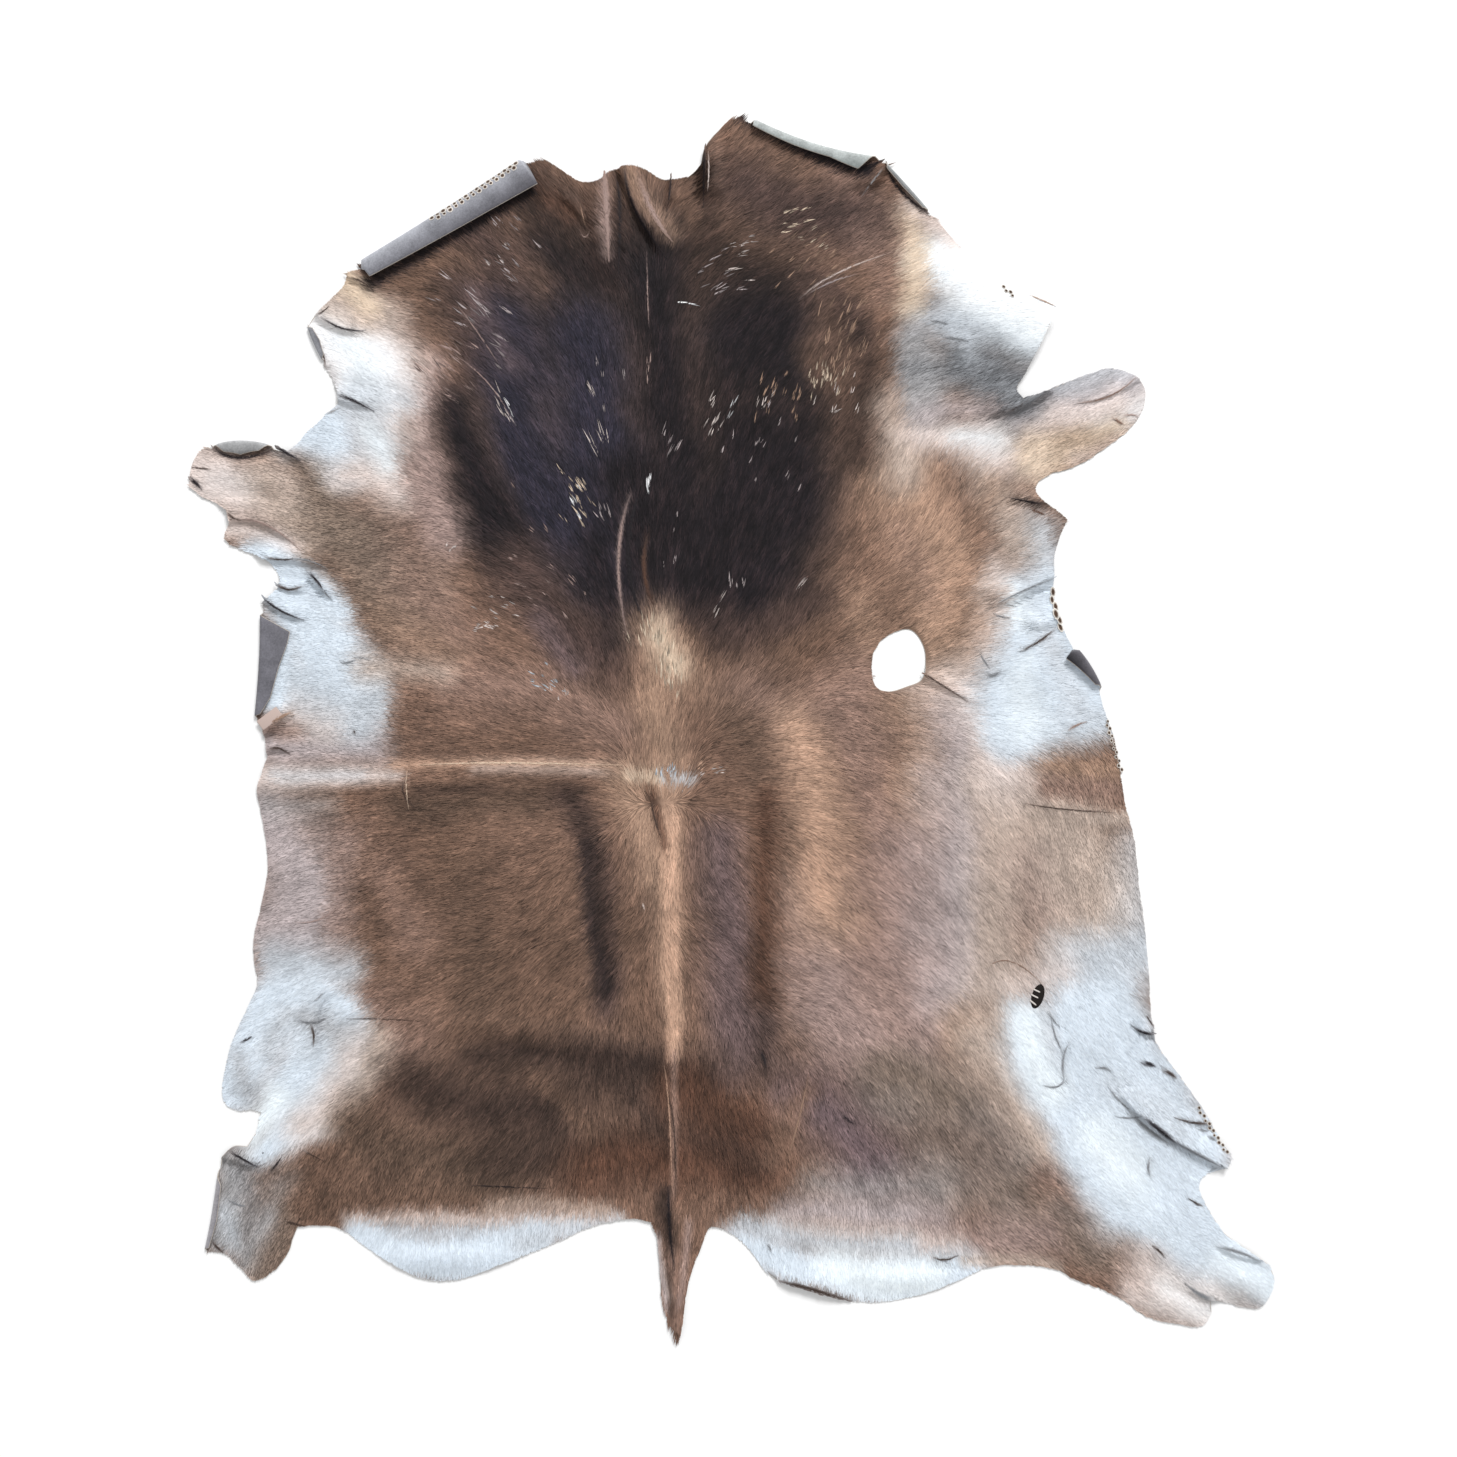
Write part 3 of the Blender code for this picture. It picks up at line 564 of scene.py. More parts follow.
# The hide as it lies: raised at its creases, and rolled up past its fold lines
fold_of = np.array(pattern.folds)[source]
middle_surface = np.column_stack((flat, hide_heights(flat)))
for i, fold in enumerate(FOLDS):
    rolled = np.nonzero(fold_of == i)[0]
    middle_surface[rolled] = rolled_places(
        fold, np.array(pattern.shares)[source[rolled]], np.array(pattern.depths)[source[rolled]])
low = middle_surface.min(axis=0)
high = middle_surface.max(axis=0)
centre = np.array((0.5 * (low[0] + high[0]), 0.5 * (low[1] + high[1]), 0.0))


def point_normals(points, faces):
    """Unit normals at the points of a surface of triangles."""
    corners = points[faces]
    across = np.cross(corners[:, 1] - corners[:, 0], corners[:, 2] - corners[:, 0])
    normals = np.zeros_like(points)
    for corner in range(3):
        np.add.at(normals, faces[:, corner], across)
    return normals / np.linalg.norm(normals, axis=1)[:, None]


# The skin is closed: a hair side, a flesh side and a rounded cut edge between them
normals = point_normals(middle_surface, triangles)
if normals[fold_of == NO_FOLD, 2].mean() < 0.0:
    triangles = triangles[:, ::-1]
    normals = -normals
middle_surface[:, 2] += 0.5 * SKIN_THICKNESS
count = len(middle_surface)
hair_side = middle_surface + 0.5 * SKIN_THICKNESS * normals
flesh_side = middle_surface - 0.5 * SKIN_THICKNESS * normals
faces = [triangles.tolist(), (triangles[:, ::-1] + count).tolist()]
rim_points = []
for row in rims:
    run = middle_surface[np.roll(row, -1)] - middle_surface[np.roll(row, 1)]
    outward = np.cross(normals[row], run)
    outward /= np.linalg.norm(outward, axis=1)[:, None]
    edge_row = 2 * count + sum(map(len, rim_points)) + np.arange(len(row))
    rim_points.append(middle_surface[row] + EDGE_ROUNDING * outward)
    following = np.roll(row, -1)
    following_edge = np.roll(edge_row, -1)
    faces.append(np.column_stack((row, following, following_edge, edge_row)).tolist())
    faces.append(np.column_stack((edge_row, following_edge, following + count, row + count)).tolist())
skin_points = np.concatenate([hair_side, flesh_side] + rim_points)
skin_faces = [face for group in faces for face in group]
slot_counts = (len(triangles), len(triangles), len(skin_faces) - 2 * len(triangles))
skin_slots = np.repeat((HAIR_SLOT, SUEDE_SLOT, EDGE_SLOT), slot_counts)


def new_piece(name, points, piece_faces):
    """A piece with its place in its mesh, which rides on the rug's only body."""
    mesh = bpy.data.meshes.new(name)
    mesh.from_pydata((points - centre) * METRES_PER_MM, [], piece_faces)
    mesh.update()
    piece = bpy.data.objects.new(name, mesh)
    bpy.context.scene.collection.objects.link(piece)
    mesh.shade_smooth()
    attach(piece, "root")
    return piece


# Width of floor on each half of the flat map, and how far the cut edge stands off the outline on it
MAP_SPAN = 2400.0
MAP_RIM = 3.0


def map_skin(piece):
    """Lays the hair side on the left half of the piece's flat map, and the flesh side on the right."""
    spread = [flat, flat]
    sides = [0] * len(triangles) + [1] * len(triangles)
    for row in rims:
        run = flat[np.roll(row, -1)] - flat[np.roll(row, 1)]
        run /= np.linalg.norm(run, axis=1)[:, None]
        spread.append(flat[row] + MAP_RIM * np.stack((-run[:, 1], run[:, 0]), axis=1))
        sides += [0] * len(row) + [1] * len(row)
    corners = np.zeros(len(piece.data.loops), dtype=np.int32)
    piece.data.loops.foreach_get("vertex_index", corners)
    places = (np.concatenate(spread)[corners] / MAP_SPAN + 0.5) * (0.5, 1.0)
    places[:, 0] += 0.5 * np.repeat(sides, [len(face) for face in skin_faces])
    layer = piece.data.uv_layers.new(name="OFBake")
    layer.data.foreach_set("uv", places.astype(np.float32).ravel())


hide = new_piece("tanned_hide", skin_points, skin_faces)
map_skin(hide)
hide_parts("hide")


def hex_rgb(text):
    """Red, green and blue of a hex colour as it shows on screen."""
    return np.array([int(text[i:i + 2], 16) for i in (1, 3, 5)]) / 255.0


def linear(colours):
    """Screen colours turned into linear light."""
    colours = np.asarray(colours)
    return np.where(colours <= 0.04045, colours / 12.92, ((colours + 0.055) / 1.055) ** 2.4)


def shader_colour(text):
    """A hex colour as a shader's socket takes it."""
    return (*linear(hex_rgb(text)), 1.0)


def pattern_scale(size):
    """Scale of a pattern with features of a size in millimetres."""
    return 1.0 / (size * METRES_PER_MM)


def add_node(material, kind, settings=(), links=()):
    """A node with its settings, by name or socket number, linked from (socket, node, its output)."""
    tree = material.node_tree
    node = tree.nodes.new(kind)
    for key, value in settings:
        if isinstance(key, str) and hasattr(node, key):
            setattr(node, key, value)
        else:
            node.inputs[key].default_value = value
    for socket, origin, output in links:
        tree.links.new(origin.outputs[output], node.inputs[socket])
    return node


def new_material(name):
    """An empty node material."""
    material = bpy.data.materials.new(name)
    material.use_nodes = True
    material.node_tree.nodes.clear()
    return material


# Cow hair, brushed flat: keratin, which gives a faint gloss. Each lock brings its own colour
hair = new_material("cow_hair")
hair_tint = add_node(hair, "ShaderNodeAttribute", (("attribute_name", "coat"),))
hair_shader = add_node(
    hair, "ShaderNodeBsdfPrincipled",
    (("Roughness", 0.6), ("IOR", 1.55), ("Specular IOR Level", 0.12)),
    (("Base Color", hair_tint, "Color"),))
add_node(hair, "ShaderNodeOutputMaterial", (), (("Surface", hair_shader, "BSDF"),))

# Chrome-tanned suede: flesh side buffed to a matt nap, so it is cloudy grey with fine fibres. The
# fibres and the nap are drawn coarser than real ones, so that they show.
SUEDE_CLOUD = 29.41
SUEDE_FIBRE = 3.03
SUEDE_NAP = 1.111
SUEDE_NAP_DEPTH = 0.6
suede = new_material("suede_flesh_side")
suede_place = add_node(suede, "ShaderNodeTexCoord")
suede_tint = add_node(suede, "ShaderNodeAttribute", (("attribute_name", "coat"),))
suede_clouds = add_node(
    suede, "ShaderNodeTexNoise",
    (("Scale", pattern_scale(SUEDE_CLOUD)), ("Detail", 5.0), ("Roughness", 0.62)),
    (("Vector", suede_place, "Object"),))
suede_fibres = add_node(
    suede, "ShaderNodeTexNoise",
    (("Scale", pattern_scale(SUEDE_FIBRE)), ("Detail", 4.0), ("Roughness", 0.7)),
    (("Vector", suede_place, "Object"),))
suede_mottle = add_node(
    suede, "ShaderNodeMath", (("operation", "ADD"),),
    ((0, suede_clouds, "Fac"), (1, suede_fibres, "Fac")))
suede_shades = add_node(
    suede, "ShaderNodeMapRange",
    (("From Min", 0.6), ("From Max", 1.4), ("To Min", 0.55), ("To Max", 1.42)),
    (("Value", suede_mottle, "Value"),))
suede_colour = add_node(
    suede, "ShaderNodeVectorMath", (("operation", "SCALE"),),
    (("Vector", suede_tint, "Color"), ("Scale", suede_shades, "Result")))
suede_nap = add_node(
    suede, "ShaderNodeTexNoise", (("Scale", pattern_scale(SUEDE_NAP)), ("Detail", 3.0)),
    (("Vector", suede_place, "Object"),))
suede_bump = add_node(
    suede, "ShaderNodeBump", (("Strength", 0.35), ("Distance", SUEDE_NAP_DEPTH * METRES_PER_MM)),
    (("Height", suede_nap, "Fac"),))
suede_shader = add_node(
    suede, "ShaderNodeBsdfPrincipled",
    (("Roughness", 0.9), ("Specular IOR Level", 0.2), ("Sheen Weight", 0.15)),
    (("Base Color", suede_colour, "Vector"), ("Normal", suede_bump, "Normal")))
add_node(suede, "ShaderNodeOutputMaterial", (), (("Surface", suede_shader, "BSDF"),))

# Raw leather, cut by knife: a dry, pale section with streaks of grain, drawn coarse enough to show
EDGE_GRAIN = 3.846
raw_edge = new_material("raw_cut_edge")
edge_place = add_node(raw_edge, "ShaderNodeTexCoord")
edge_grain = add_node(
    raw_edge, "ShaderNodeTexNoise", (("Scale", pattern_scale(EDGE_GRAIN)), ("Detail", 4.0)),
    (("Vector", edge_place, "Object"),))
edge_shades = add_node(
    raw_edge, "ShaderNodeMix",
    (("data_type", "RGBA"), (6, shader_colour("#8F857C")), (7, shader_colour("#CDC5BC"))),
    ((0, edge_grain, "Fac"),))
edge_shader = add_node(
    raw_edge, "ShaderNodeBsdfPrincipled", (("Roughness", 0.85), ("Specular IOR Level", 0.2)),
    (("Base Color", edge_shades, 2),))
add_node(raw_edge, "ShaderNodeOutputMaterial", (), (("Surface", edge_shader, "BSDF"),))

# Colour of the flesh side on each rolled edge, with painted light and shade: outside at the bend,
# lit and paler, and inside at its lip, darker in the painted shade under the roll. The bend's colour
# turns into the lip's between these shares of the width.
FLESH_GROUND = "#848388"
BEND_UNTIL = 0.28
LIP_FROM = 1.08
Flesh = namedtuple("Flesh", "fold bend lip")
FLESH = [Flesh(*row) for row in (
    ("neck right fold", "#BEC2C1", "#7F8685"),
    ("neck corner roll", "#B9BDBC", "#5A5A5C"),
    # Painted shadow: this flap stands up in shade, so its flesh side is near black.
    ("right flank flap", "#6A686E", "#141316"),
    ("left hind edge roll", "#B4B2B6", "#6E6B70"),
    ("left flank flap", "#6C6B72", "#67666C"),
    ("left foreleg top roll", "#A9AAAB", "#6F6F70"),
    ("left shoulder flap", "#A4A5AA", "#5E5E63"),
    ("neck left roll", "#A6A8AF", "#47454B"),
)]


def flesh_colours():
    """Screen colours of the flesh side at the points of the hide, with painted light and shade on the
    rolls.
    """
    colours = np.tile(hex_rgb(FLESH_GROUND), (len(flat), 1))
    index = {fold.name: i for i, fold in enumerate(FOLDS)}
    for row in FLESH:
        fold = FOLDS[index[row.fold]]
        rolled = np.nonzero(fold_of == index[row.fold])[0]
        depths = np.array(pattern.depths)[source[rolled]]
        widest = bend_length(fold) + max(lip for share, lip in fold.lips)
        share = np.clip((depths / widest - BEND_UNTIL) / (LIP_FROM - BEND_UNTIL), 0.0, 1.0)[:, None]
        colours[rolled] = hex_rgb(row.bend) * (1.0 - share) + hex_rgb(row.lip) * share
    return colours


for material in (hair, suede, raw_edge):
    hide.data.materials.append(material)
hide.data.polygons.foreach_set("material_index", skin_slots.astype(np.int32))


# The coat: short glossy hair on the grain side, left on in tanning and combed flat. It grows away
# from two whorls on the back, and it is black on the neck, brown on the back and white on the
# flanks, legs and belly, where the colours run into one another.
COAT_COLOURS = {
    "black": "#1E1A1D",
    "ink": "#2C2A35",
    "seal": "#3A2E29",
    "umber": "#563D31",
    "cocoa": "#4B3C38",
    "olive": "#5C4A3F",
    "brown": "#6A5346",
    "fawn": "#7A6052",
    "hazel": "#91766A",
    "khaki": "#817064",
    "dun": "#897D77",
    "tan": "#A08370",
    "peach": "#BD9A84",
    "beige": "#BBA99D",
    "cream": "#DCC7B0",
    "pearl": "#D8CAC4",
    "mauve": "#A28B84",
    "lilac": "#B3A7A7",
    "plum": "#6C5B5D",
    "slate": "#7A7C80",
    "grey": "#A2A0A1",
    "ash": "#C3C9D0",
    "ice": "#D4DEE8",
    "snow": "#E9F1F6",
    "white": "#FCFCFE",
}
GROUND = "fawn"

# Patches of the coat, each painted over the ones before it: a stroke along a curve, with its
# half widths, the half width of its soft border and its strength where that isn't full.
Patch = namedtuple("Patch", "colour start via end width_start width_end soft strength", defaults=(1.0,))
PATCHES = [Patch(*row) for row in (
    # Left shoulder and flank
    ("khaki", (-720, 400), (-640, 320), (-560, 240), 70, 80, 60),
    ("hazel", (-600, 400), (-540, 260), (-480, 170), 40, 60, 70, 0.8),
    ("fawn", (-430, 280), (-380, 170), (-320, 110), 34, 40, 50, 0.9),
    ("tan", (-600, 200), (-540, 160), (-480, 120), 24, 24, 44, 0.7),
    ("hazel", (-480, 60), (-340, 50), (-200, 0), 40, 34, 50, 0.9),
    ("fawn", (-540, 20), (-460, -20), (-400, -30), 24, 24, 44, 0.7),
    ("brown", (-460, -24), (-400, -30), (-340, -30), 14, 16, 24, 0.7),
    # Left ribs
    ("brown", (-500, -180), (-440, -330), (-400, -480), 60, 90, 70),
    ("olive", (-460, -250), (-450, -350), (-430, -470), 20, 30, 60, 0.6),
    ("fawn", (-420, -190), (-380, -190), (-320, -190), 16, 20, 34, 0.8),
    ("brown", (-320, -260), (-300, -380), (-300, -500), 30, 50, 60),
    ("hazel", (-590, -240), (-570, -300), (-540, -370), 20, 24, 44, 0.7),
    # Middle of the body and right ribs
    ("brown", (-60, 120), (0, 80), (100, 150), 50, 50, 50, 0.8),
    ("hazel", (30, 60), (140, 20), (260, 60), 40, 60, 60),
    ("tan", (210, 230), (220, 160), (230, 130), 24, 24, 50, 0.8),
    ("hazel", (220, 40), (236, -150), (250, -420), 60, 70, 60),
    ("tan", (310, 40), (330, -40), (320, -160), 40, 44, 50),
    ("mauve", (140, -300), (150, -430), (200, -520), 50, 80, 60),
    ("mauve", (300, -220), (310, -360), (340, -520), 50, 70, 70),
    ("lilac", (380, 0), (390, -180), (390, -440), 50, 60, 60),
    ("beige", (440, -100), (460, -260), (440, -500), 50, 60, 50, 0.9),
    ("tan", (400, -520), (390, -580), (430, -640), 30, 34, 44, 0.8),
    ("tan", (90, 10), (140, -150), (150, -330), 40, 50, 60, 0.9),
    ("peach", (110, -10), (140, -110), (150, -290), 20, 26, 44),
    ("olive", (-10, 30), (20, -30), (40, -100), 30, 20, 34, 0.7),
    # Right flank
    ("beige", (560, -190), (600, -260), (620, -340), 90, 100, 60),
    ("mauve", (500, -230), (520, -280), (540, -330), 30, 40, 60, 0.4),
    ("pearl", (350, 90), (420, 20), (470, -80), 34, 50, 50),
    ("ash", (690, -200), (690, -300), (700, -380), 24, 34, 40, 0.7),
    ("tan", (550, -70), (600, -70), (680, -80), 20, 24, 26, 0.9),
    ("hazel", (540, -106), (600, -106), (680, -110), 18, 20, 16, 0.9),
    ("ash", (480, -20), (560, -4), (660, 10), 40, 26, 30),
    ("beige", (510, -150), (590, -154), (710, -156), 10, 12, 8),
    ("ash", (370, 110), (440, 100), (520, 60), 14, 50, 36, 0.9),
    ("white", (440, 240), (460, 180), (480, 120), 10, 20, 30, 0.8),
    ("ice", (480, 230), (500, 120), (500, 50), 44, 90, 44),
    ("snow", (470, 230), (500, 200), (550, 220), 20, 44, 30),
    ("snow", (500, 110), (500, 60), (510, 10), 20, 34, 34, 0.7),
    ("ash", (530, 340), (545, 260), (540, 200), 36, 36, 40),
    ("ice", (560, 220), (590, 160), (620, 60), 50, 50, 40),
    ("pearl", (390, 110), (430, 180), (450, 280), 14, 20, 30, 0.9),
    # Right hind flank and leg
    ("dun", (300, -640), (400, -700), (520, -810), 80, 90, 60),
    ("plum", (130, -640), (190, -680), (240, -740), 50, 60, 60),
    ("khaki", (270, -590), (330, -610), (380, -640), 30, 30, 44, 0.9),
    ("brown", (330, -680), (400, -740), (440, -790), 10, 20, 60, 0.4),
    ("brown", (280, -680), (350, -700), (440, -710), 20, 30, 50, 0.3),
    ("grey", (150, -780), (240, -790), (340, -790), 26, 34, 50, 0.7),
    ("beige", (430, -540), (480, -640), (540, -740), 40, 30, 40),
    ("hazel", (540, -800), (610, -880), (680, -950), 44, 26, 40),
    ("khaki", (480, -790), (560, -850), (640, -910), 30, 34, 40, 0.6),
    ("khaki", (460, -880), (540, -860), (620, -900), 20, 26, 34, 0.6),
    ("dun", (570, -830), (600, -850), (640, -880), 14, 20, 30, 0.7),
    ("ice", (620, -450), (640, -560), (740, -740), 90, 130, 50),
    ("ice", (500, -500), (520, -590), (620, -710), 40, 50, 34),
    ("snow", (500, -500), (510, -560), (540, -620), 26, 30, 30, 0.9),
    ("ice", (610, -720), (720, -850), (800, -900), 54, 56, 34),
    ("snow", (620, -700), (690, -780), (760, -860), 30, 30, 40, 0.9),
    ("ash", (660, -620), (700, -640), (760, -680), 20, 30, 40, 0.7),
    ("ice", (760, -820), (830, -900), (920, -960), 70, 60, 50),
    ("ash", (600, -400), (650, -390), (720, -390), 24, 40, 40, 0.9),
    ("pearl", (470, -440), (510, -430), (560, -410), 20, 24, 40, 0.8),
    ("pearl", (700, -926), (740, -960), (780, -990), 24, 34, 40),
    ("pearl", (680, -970), (760, -1000), (820, -1010), 24, 34, 34),
    ("snow", (740, -960), (790, -990), (830, -1010), 16, 30, 40, 0.6),
    ("snow", (840, -930), (880, -950), (920, -970), 30, 34, 30, 0.6),
    # Right lobe of the rump
    ("lilac", (80, -840), (200, -834), (340, -850), 20, 34, 34),
    ("mauve", (340, -880), (440, -880), (540, -880), 34, 30, 40, 0.9),
    ("pearl", (60, -858), (200, -872), (380, -890), 12, 18, 24, 0.9),
    ("ash", (20, -850), (120, -878), (300, -894), 14, 16, 22, 0.9),
    ("ice", (0, -888), (200, -946), (400, -944), 34, 48, 26),
    ("snow", (180, -926), (260, -944), (340, -946), 30, 30, 30),
    ("beige", (400, -916), (480, -914), (560, -930), 8, 8, 14, 0.9),
    # Left shoulder and foreleg
    ("mauve", (-520, 620), (-530, 480), (-490, 330), 20, 40, 34),
    ("pearl", (-590, 700), (-580, 600), (-600, 480), 30, 44, 44),
    ("white", (-700, 680), (-650, 640), (-630, 590), 70, 56, 40),
    ("ice", (-730, 560), (-690, 500), (-660, 450), 50, 40, 34),
    ("ash", (-640, 560), (-620, 520), (-600, 480), 34, 30, 34, 0.8),
    ("pearl", (-660, 430), (-620, 430), (-580, 400), 24, 34, 34),
    ("mauve", (-540, 420), (-530, 380), (-500, 340), 24, 24, 34, 0.8),
    ("brown", (-640, 770), (-560, 760), (-500, 740), 16, 40, 40, 0.9),
    ("snow", (-620, 510), (-600, 480), (-590, 450), 14, 18, 26, 0.8),
    ("snow", (-660, 660), (-640, 640), (-630, 600), 20, 24, 34, 0.8),
    ("beige", (-690, 760), (-640, 740), (-590, 710), 30, 26, 34),
    # Partly painted shadow: brown along the foot of the neck left roll, where its shadow falls.
    ("brown", (-600, 780), (-520, 800), (-440, 830), 20, 26, 30),
    ("cream", (-664, 770), (-644, 750), (-620, 720), 20, 22, 20, 0.9),
    ("beige", (-696, 730), (-666, 706), (-620, 690), 20, 18, 24, 0.6),
    ("ash", (-640, 580), (-600, 570), (-560, 570), 14, 18, 34, 0.8),
    ("ice", (-760, 490), (-724, 500), (-680, 520), 24, 26, 30),
    ("pearl", (-930, 430), (-860, 410), (-800, 400), 80, 40, 50),
    ("beige", (-800, 420), (-760, 370), (-730, 330), 30, 24, 34),
    ("khaki", (-730, 350), (-700, 340), (-660, 320), 20, 24, 34, 0.8),
    ("white", (-890, 424), (-860, 420), (-830, 410), 20, 20, 24, 0.3),
    ("pearl", (-880, 340), (-820, 330), (-760, 310), 20, 20, 24),
    # Left flank
    ("ice", (-790, 260), (-710, 150), (-660, 80), 50, 66, 34),
    ("ice", (-820, 270), (-740, 250), (-680, 200), 40, 24, 20),
    ("ice", (-770, 120), (-740, 70), (-650, 50), 30, 40, 30),
    ("ash", (-640, 100), (-610, 60), (-640, 10), 24, 30, 34),
    ("beige", (-620, 100), (-570, 100), (-500, 90), 24, 16, 34, 0.9),
    ("lilac", (-810, -34), (-720, -30), (-620, -30), 34, 30, 34),
    ("ash", (-770, 64), (-720, 34), (-640, 10), 30, 30, 34),
    ("pearl", (-780, 30), (-740, 16), (-690, 0), 18, 18, 34, 0.7),
    ("hazel", (-806, 0), (-780, -6), (-750, -6), 10, 10, 20, 0.7),
    ("lilac", (-820, -160), (-760, -250), (-760, -360), 70, 80, 60),
    ("grey", (-800, -130), (-760, -130), (-700, -130), 20, 20, 34, 0.6),
    ("mauve", (-670, -180), (-660, -260), (-670, -360), 20, 20, 44, 0.7),
    ("brown", (-620, -290), (-612, -350), (-602, -410), 12, 16, 20, 0.9),
    ("pearl", (-820, -86), (-700, -84), (-580, -80), 20, 12, 18),
    ("ash", (-780, -80), (-700, -80), (-640, -80), 14, 10, 14, 0.5),
    # Painted shade on the south slope of the body fold, which faces away from the light, laid over the
    # hair's own olive and seal; and painted highlight along its ridge in pearl and peach.
    ("olive", (-570, -124), (-460, -126), (-330, -120), 26, 22, 34, 0.9),
    ("seal", (-540, -106), (-480, -106), (-400, -104), 5, 4, 14, 0.6),
    ("pearl", (-440, -70), (-300, -70), (-180, -78), 9, 10, 14, 0.6),
    ("peach", (-580, -64), (-400, -62), (-180, -68), 7, 5, 12, 0.9),
    ("cocoa", (-288, -120), (-232, -230), (-214, -480), 12, 26, 30),
    ("seal", (-286, -110), (-240, -220), (-222, -450), 8, 16, 20, 0.9),
    ("black", (-250, -200), (-240, -330), (-222, -450), 5, 10, 22, 0.7),
    # Left hind flank and leg
    ("hazel", (-620, -480), (-580, -520), (-560, -560), 30, 40, 44, 0.9),
    ("beige", (-620, -520), (-610, -570), (-700, -650), 20, 30, 34),
    ("brown", (-620, -700), (-680, -760), (-740, -800), 40, 34, 46),
    ("ash", (-790, -400), (-740, -410), (-660, -410), 30, 30, 34, 0.9),
    ("ice", (-730, -480), (-700, -540), (-740, -640), 70, 70, 34),
    ("ash", (-760, -420), (-740, -480), (-730, -560), 24, 30, 50, 0.8),
    ("ice", (-860, -620), (-830, -560), (-790, -480), 50, 60, 30),
    ("ice", (-740, -640), (-770, -700), (-820, -730), 50, 26, 26),
    ("pearl", (-650, -560), (-674, -626), (-740, -690), 26, 34, 34, 0.9),
    ("beige", (-610, -560), (-630, -620), (-680, -680), 14, 18, 30, 0.9),
    ("snow", (-834, -700), (-812, -670), (-790, -640), 24, 22, 24),
    ("grey", (-740, -506), (-704, -520), (-670, -534), 12, 18, 30, 0.7),
    ("grey", (-852, -570), (-842, -596), (-834, -624), 10, 14, 26, 0.6),
    ("grey", (-770, -500), (-790, -536), (-800, -560), 10, 14, 26, 0.5),
    ("grey", (-870, -740), (-860, -800), (-880, -880), 34, 40, 34),
    ("dun", (-780, -800), (-800, -860), (-820, -930), 34, 20, 34),
    ("ash", (-880, -830), (-866, -860), (-850, -900), 14, 14, 24, 0.8),
    ("slate", (-850, -760), (-830, -800), (-830, -860), 10, 16, 24, 0.5),
    ("grey", (-800, -850), (-820, -880), (-836, -930), 16, 18, 26, 0.9),
    ("khaki", (-760, -850), (-776, -900), (-804, -950), 14, 20, 30, 0.8),
    # Rump
    ("brown", (-720, -830), (-600, -800), (-480, -810), 34, 30, 34, 0.9),
    ("olive", (-640, -680), (-560, -740), (-400, -760), 44, 50, 50),
    ("seal", (-540, -620), (-430, -640), (-300, -660), 36, 60, 60),
    ("seal", (-440, -560), (-280, -560), (-60, -600), 20, 34, 34),
    ("seal", (-420, -740), (-320, -740), (-200, -730), 24, 40, 50, 0.8),
    ("umber", (-240, -760), (-140, -740), (20, -730), 40, 60, 50),
    ("seal", (-240, -590), (-170, -630), (-130, -680), 30, 30, 34, 0.8),
    ("brown", (-340, -600), (-290, -640), (-240, -690), 6, 14, 26),
    ("umber", (-80, -620), (-10, -680), (20, -740), 50, 60, 40),
    ("seal", (-60, -700), (0, -720), (40, -740), 20, 30, 44, 0.6),
    ("fawn", (130, -630), (100, -680), (70, -740), 16, 20, 30, 0.9),
    ("fawn", (-170, -810), (-140, -810), (-120, -820), 8, 8, 20, 0.8),
    ("fawn", (-30, -820), (0, -810), (40, -820), 10, 12, 24, 0.7),
    ("beige", (-420, -824), (-320, -820), (-220, -826), 8, 10, 20, 0.8),
    ("pearl", (-660, -846), (-480, -846), (-200, -846), 8, 12, 18, 0.9),
    ("ash", (-620, -862), (-460, -866), (-260, -858), 8, 12, 16, 0.9),
    ("ice", (-640, -890), (-480, -900), (-340, -880), 30, 30, 20),
    ("ice", (-640, -880), (-500, -926), (-350, -904), 30, 34, 18),
    ("ash", (-360, -888), (-300, -872), (-200, -850), 20, 10, 16, 0.9),
    # Tail
    ("seal", (-118, -800), (-112, -840), (-104, -880), 16, 14, 16, 0.9),
    ("hazel", (-110, -900), (-104, -950), (-96, -1030), 16, 10, 20, 0.8),
    ("pearl", (-132, -880), (-122, -930), (-112, -980), 6, 6, 8, 0.7),
    ("lilac", (-128, -870), (-124, -930), (-114, -1000), 4, 4, 7, 0.8),
    ("mauve", (-74, -850), (-82, -920), (-92, -990), 6, 5, 8, 0.8),
    ("seal", (-114, -900), (-110, -950), (-104, -1010), 3, 3, 6, 0.7),
    # Spine
    ("tan", (-180, -90), (-160, -160), (-140, -260), 34, 20, 34),
    ("brown", (-170, -320), (-160, -400), (-150, -500), 20, 24, 34, 0.9),
    ("plum", (-30, -200), (-10, -340), (20, -560), 34, 50, 40, 0.8),
    ("seal", (-20, -560), (10, -580), (40, -590), 14, 20, 34, 0.5),
    ("umber", (52, -120), (54, -290), (54, -460), 12, 20, 30),
    ("seal", (44, -480), (50, -540), (50, -590), 14, 14, 30, 0.7),
    ("tan", (-120, -120), (-112, -330), (-106, -500), 30, 14, 24),
    ("peach", (-108, -110), (-106, -330), (-100, -560), 16, 12, 10),
    ("hazel", (-100, -560), (-100, -700), (-100, -800), 6, 4, 8, 0.9),
    # Right shoulder and foreleg
    ("tan", (280, 430), (340, 300), (350, 160), 60, 70, 60),
    ("peach", (350, 400), (380, 300), (370, 200), 24, 24, 50, 0.7),
    ("hazel", (290, 340), (310, 280), (330, 220), 20, 20, 40, 0.5),
    ("beige", (430, 450), (470, 380), (490, 320), 30, 30, 40, 0.9),
    ("tan", (440, 430), (450, 400), (440, 370), 10, 14, 30, 0.6),
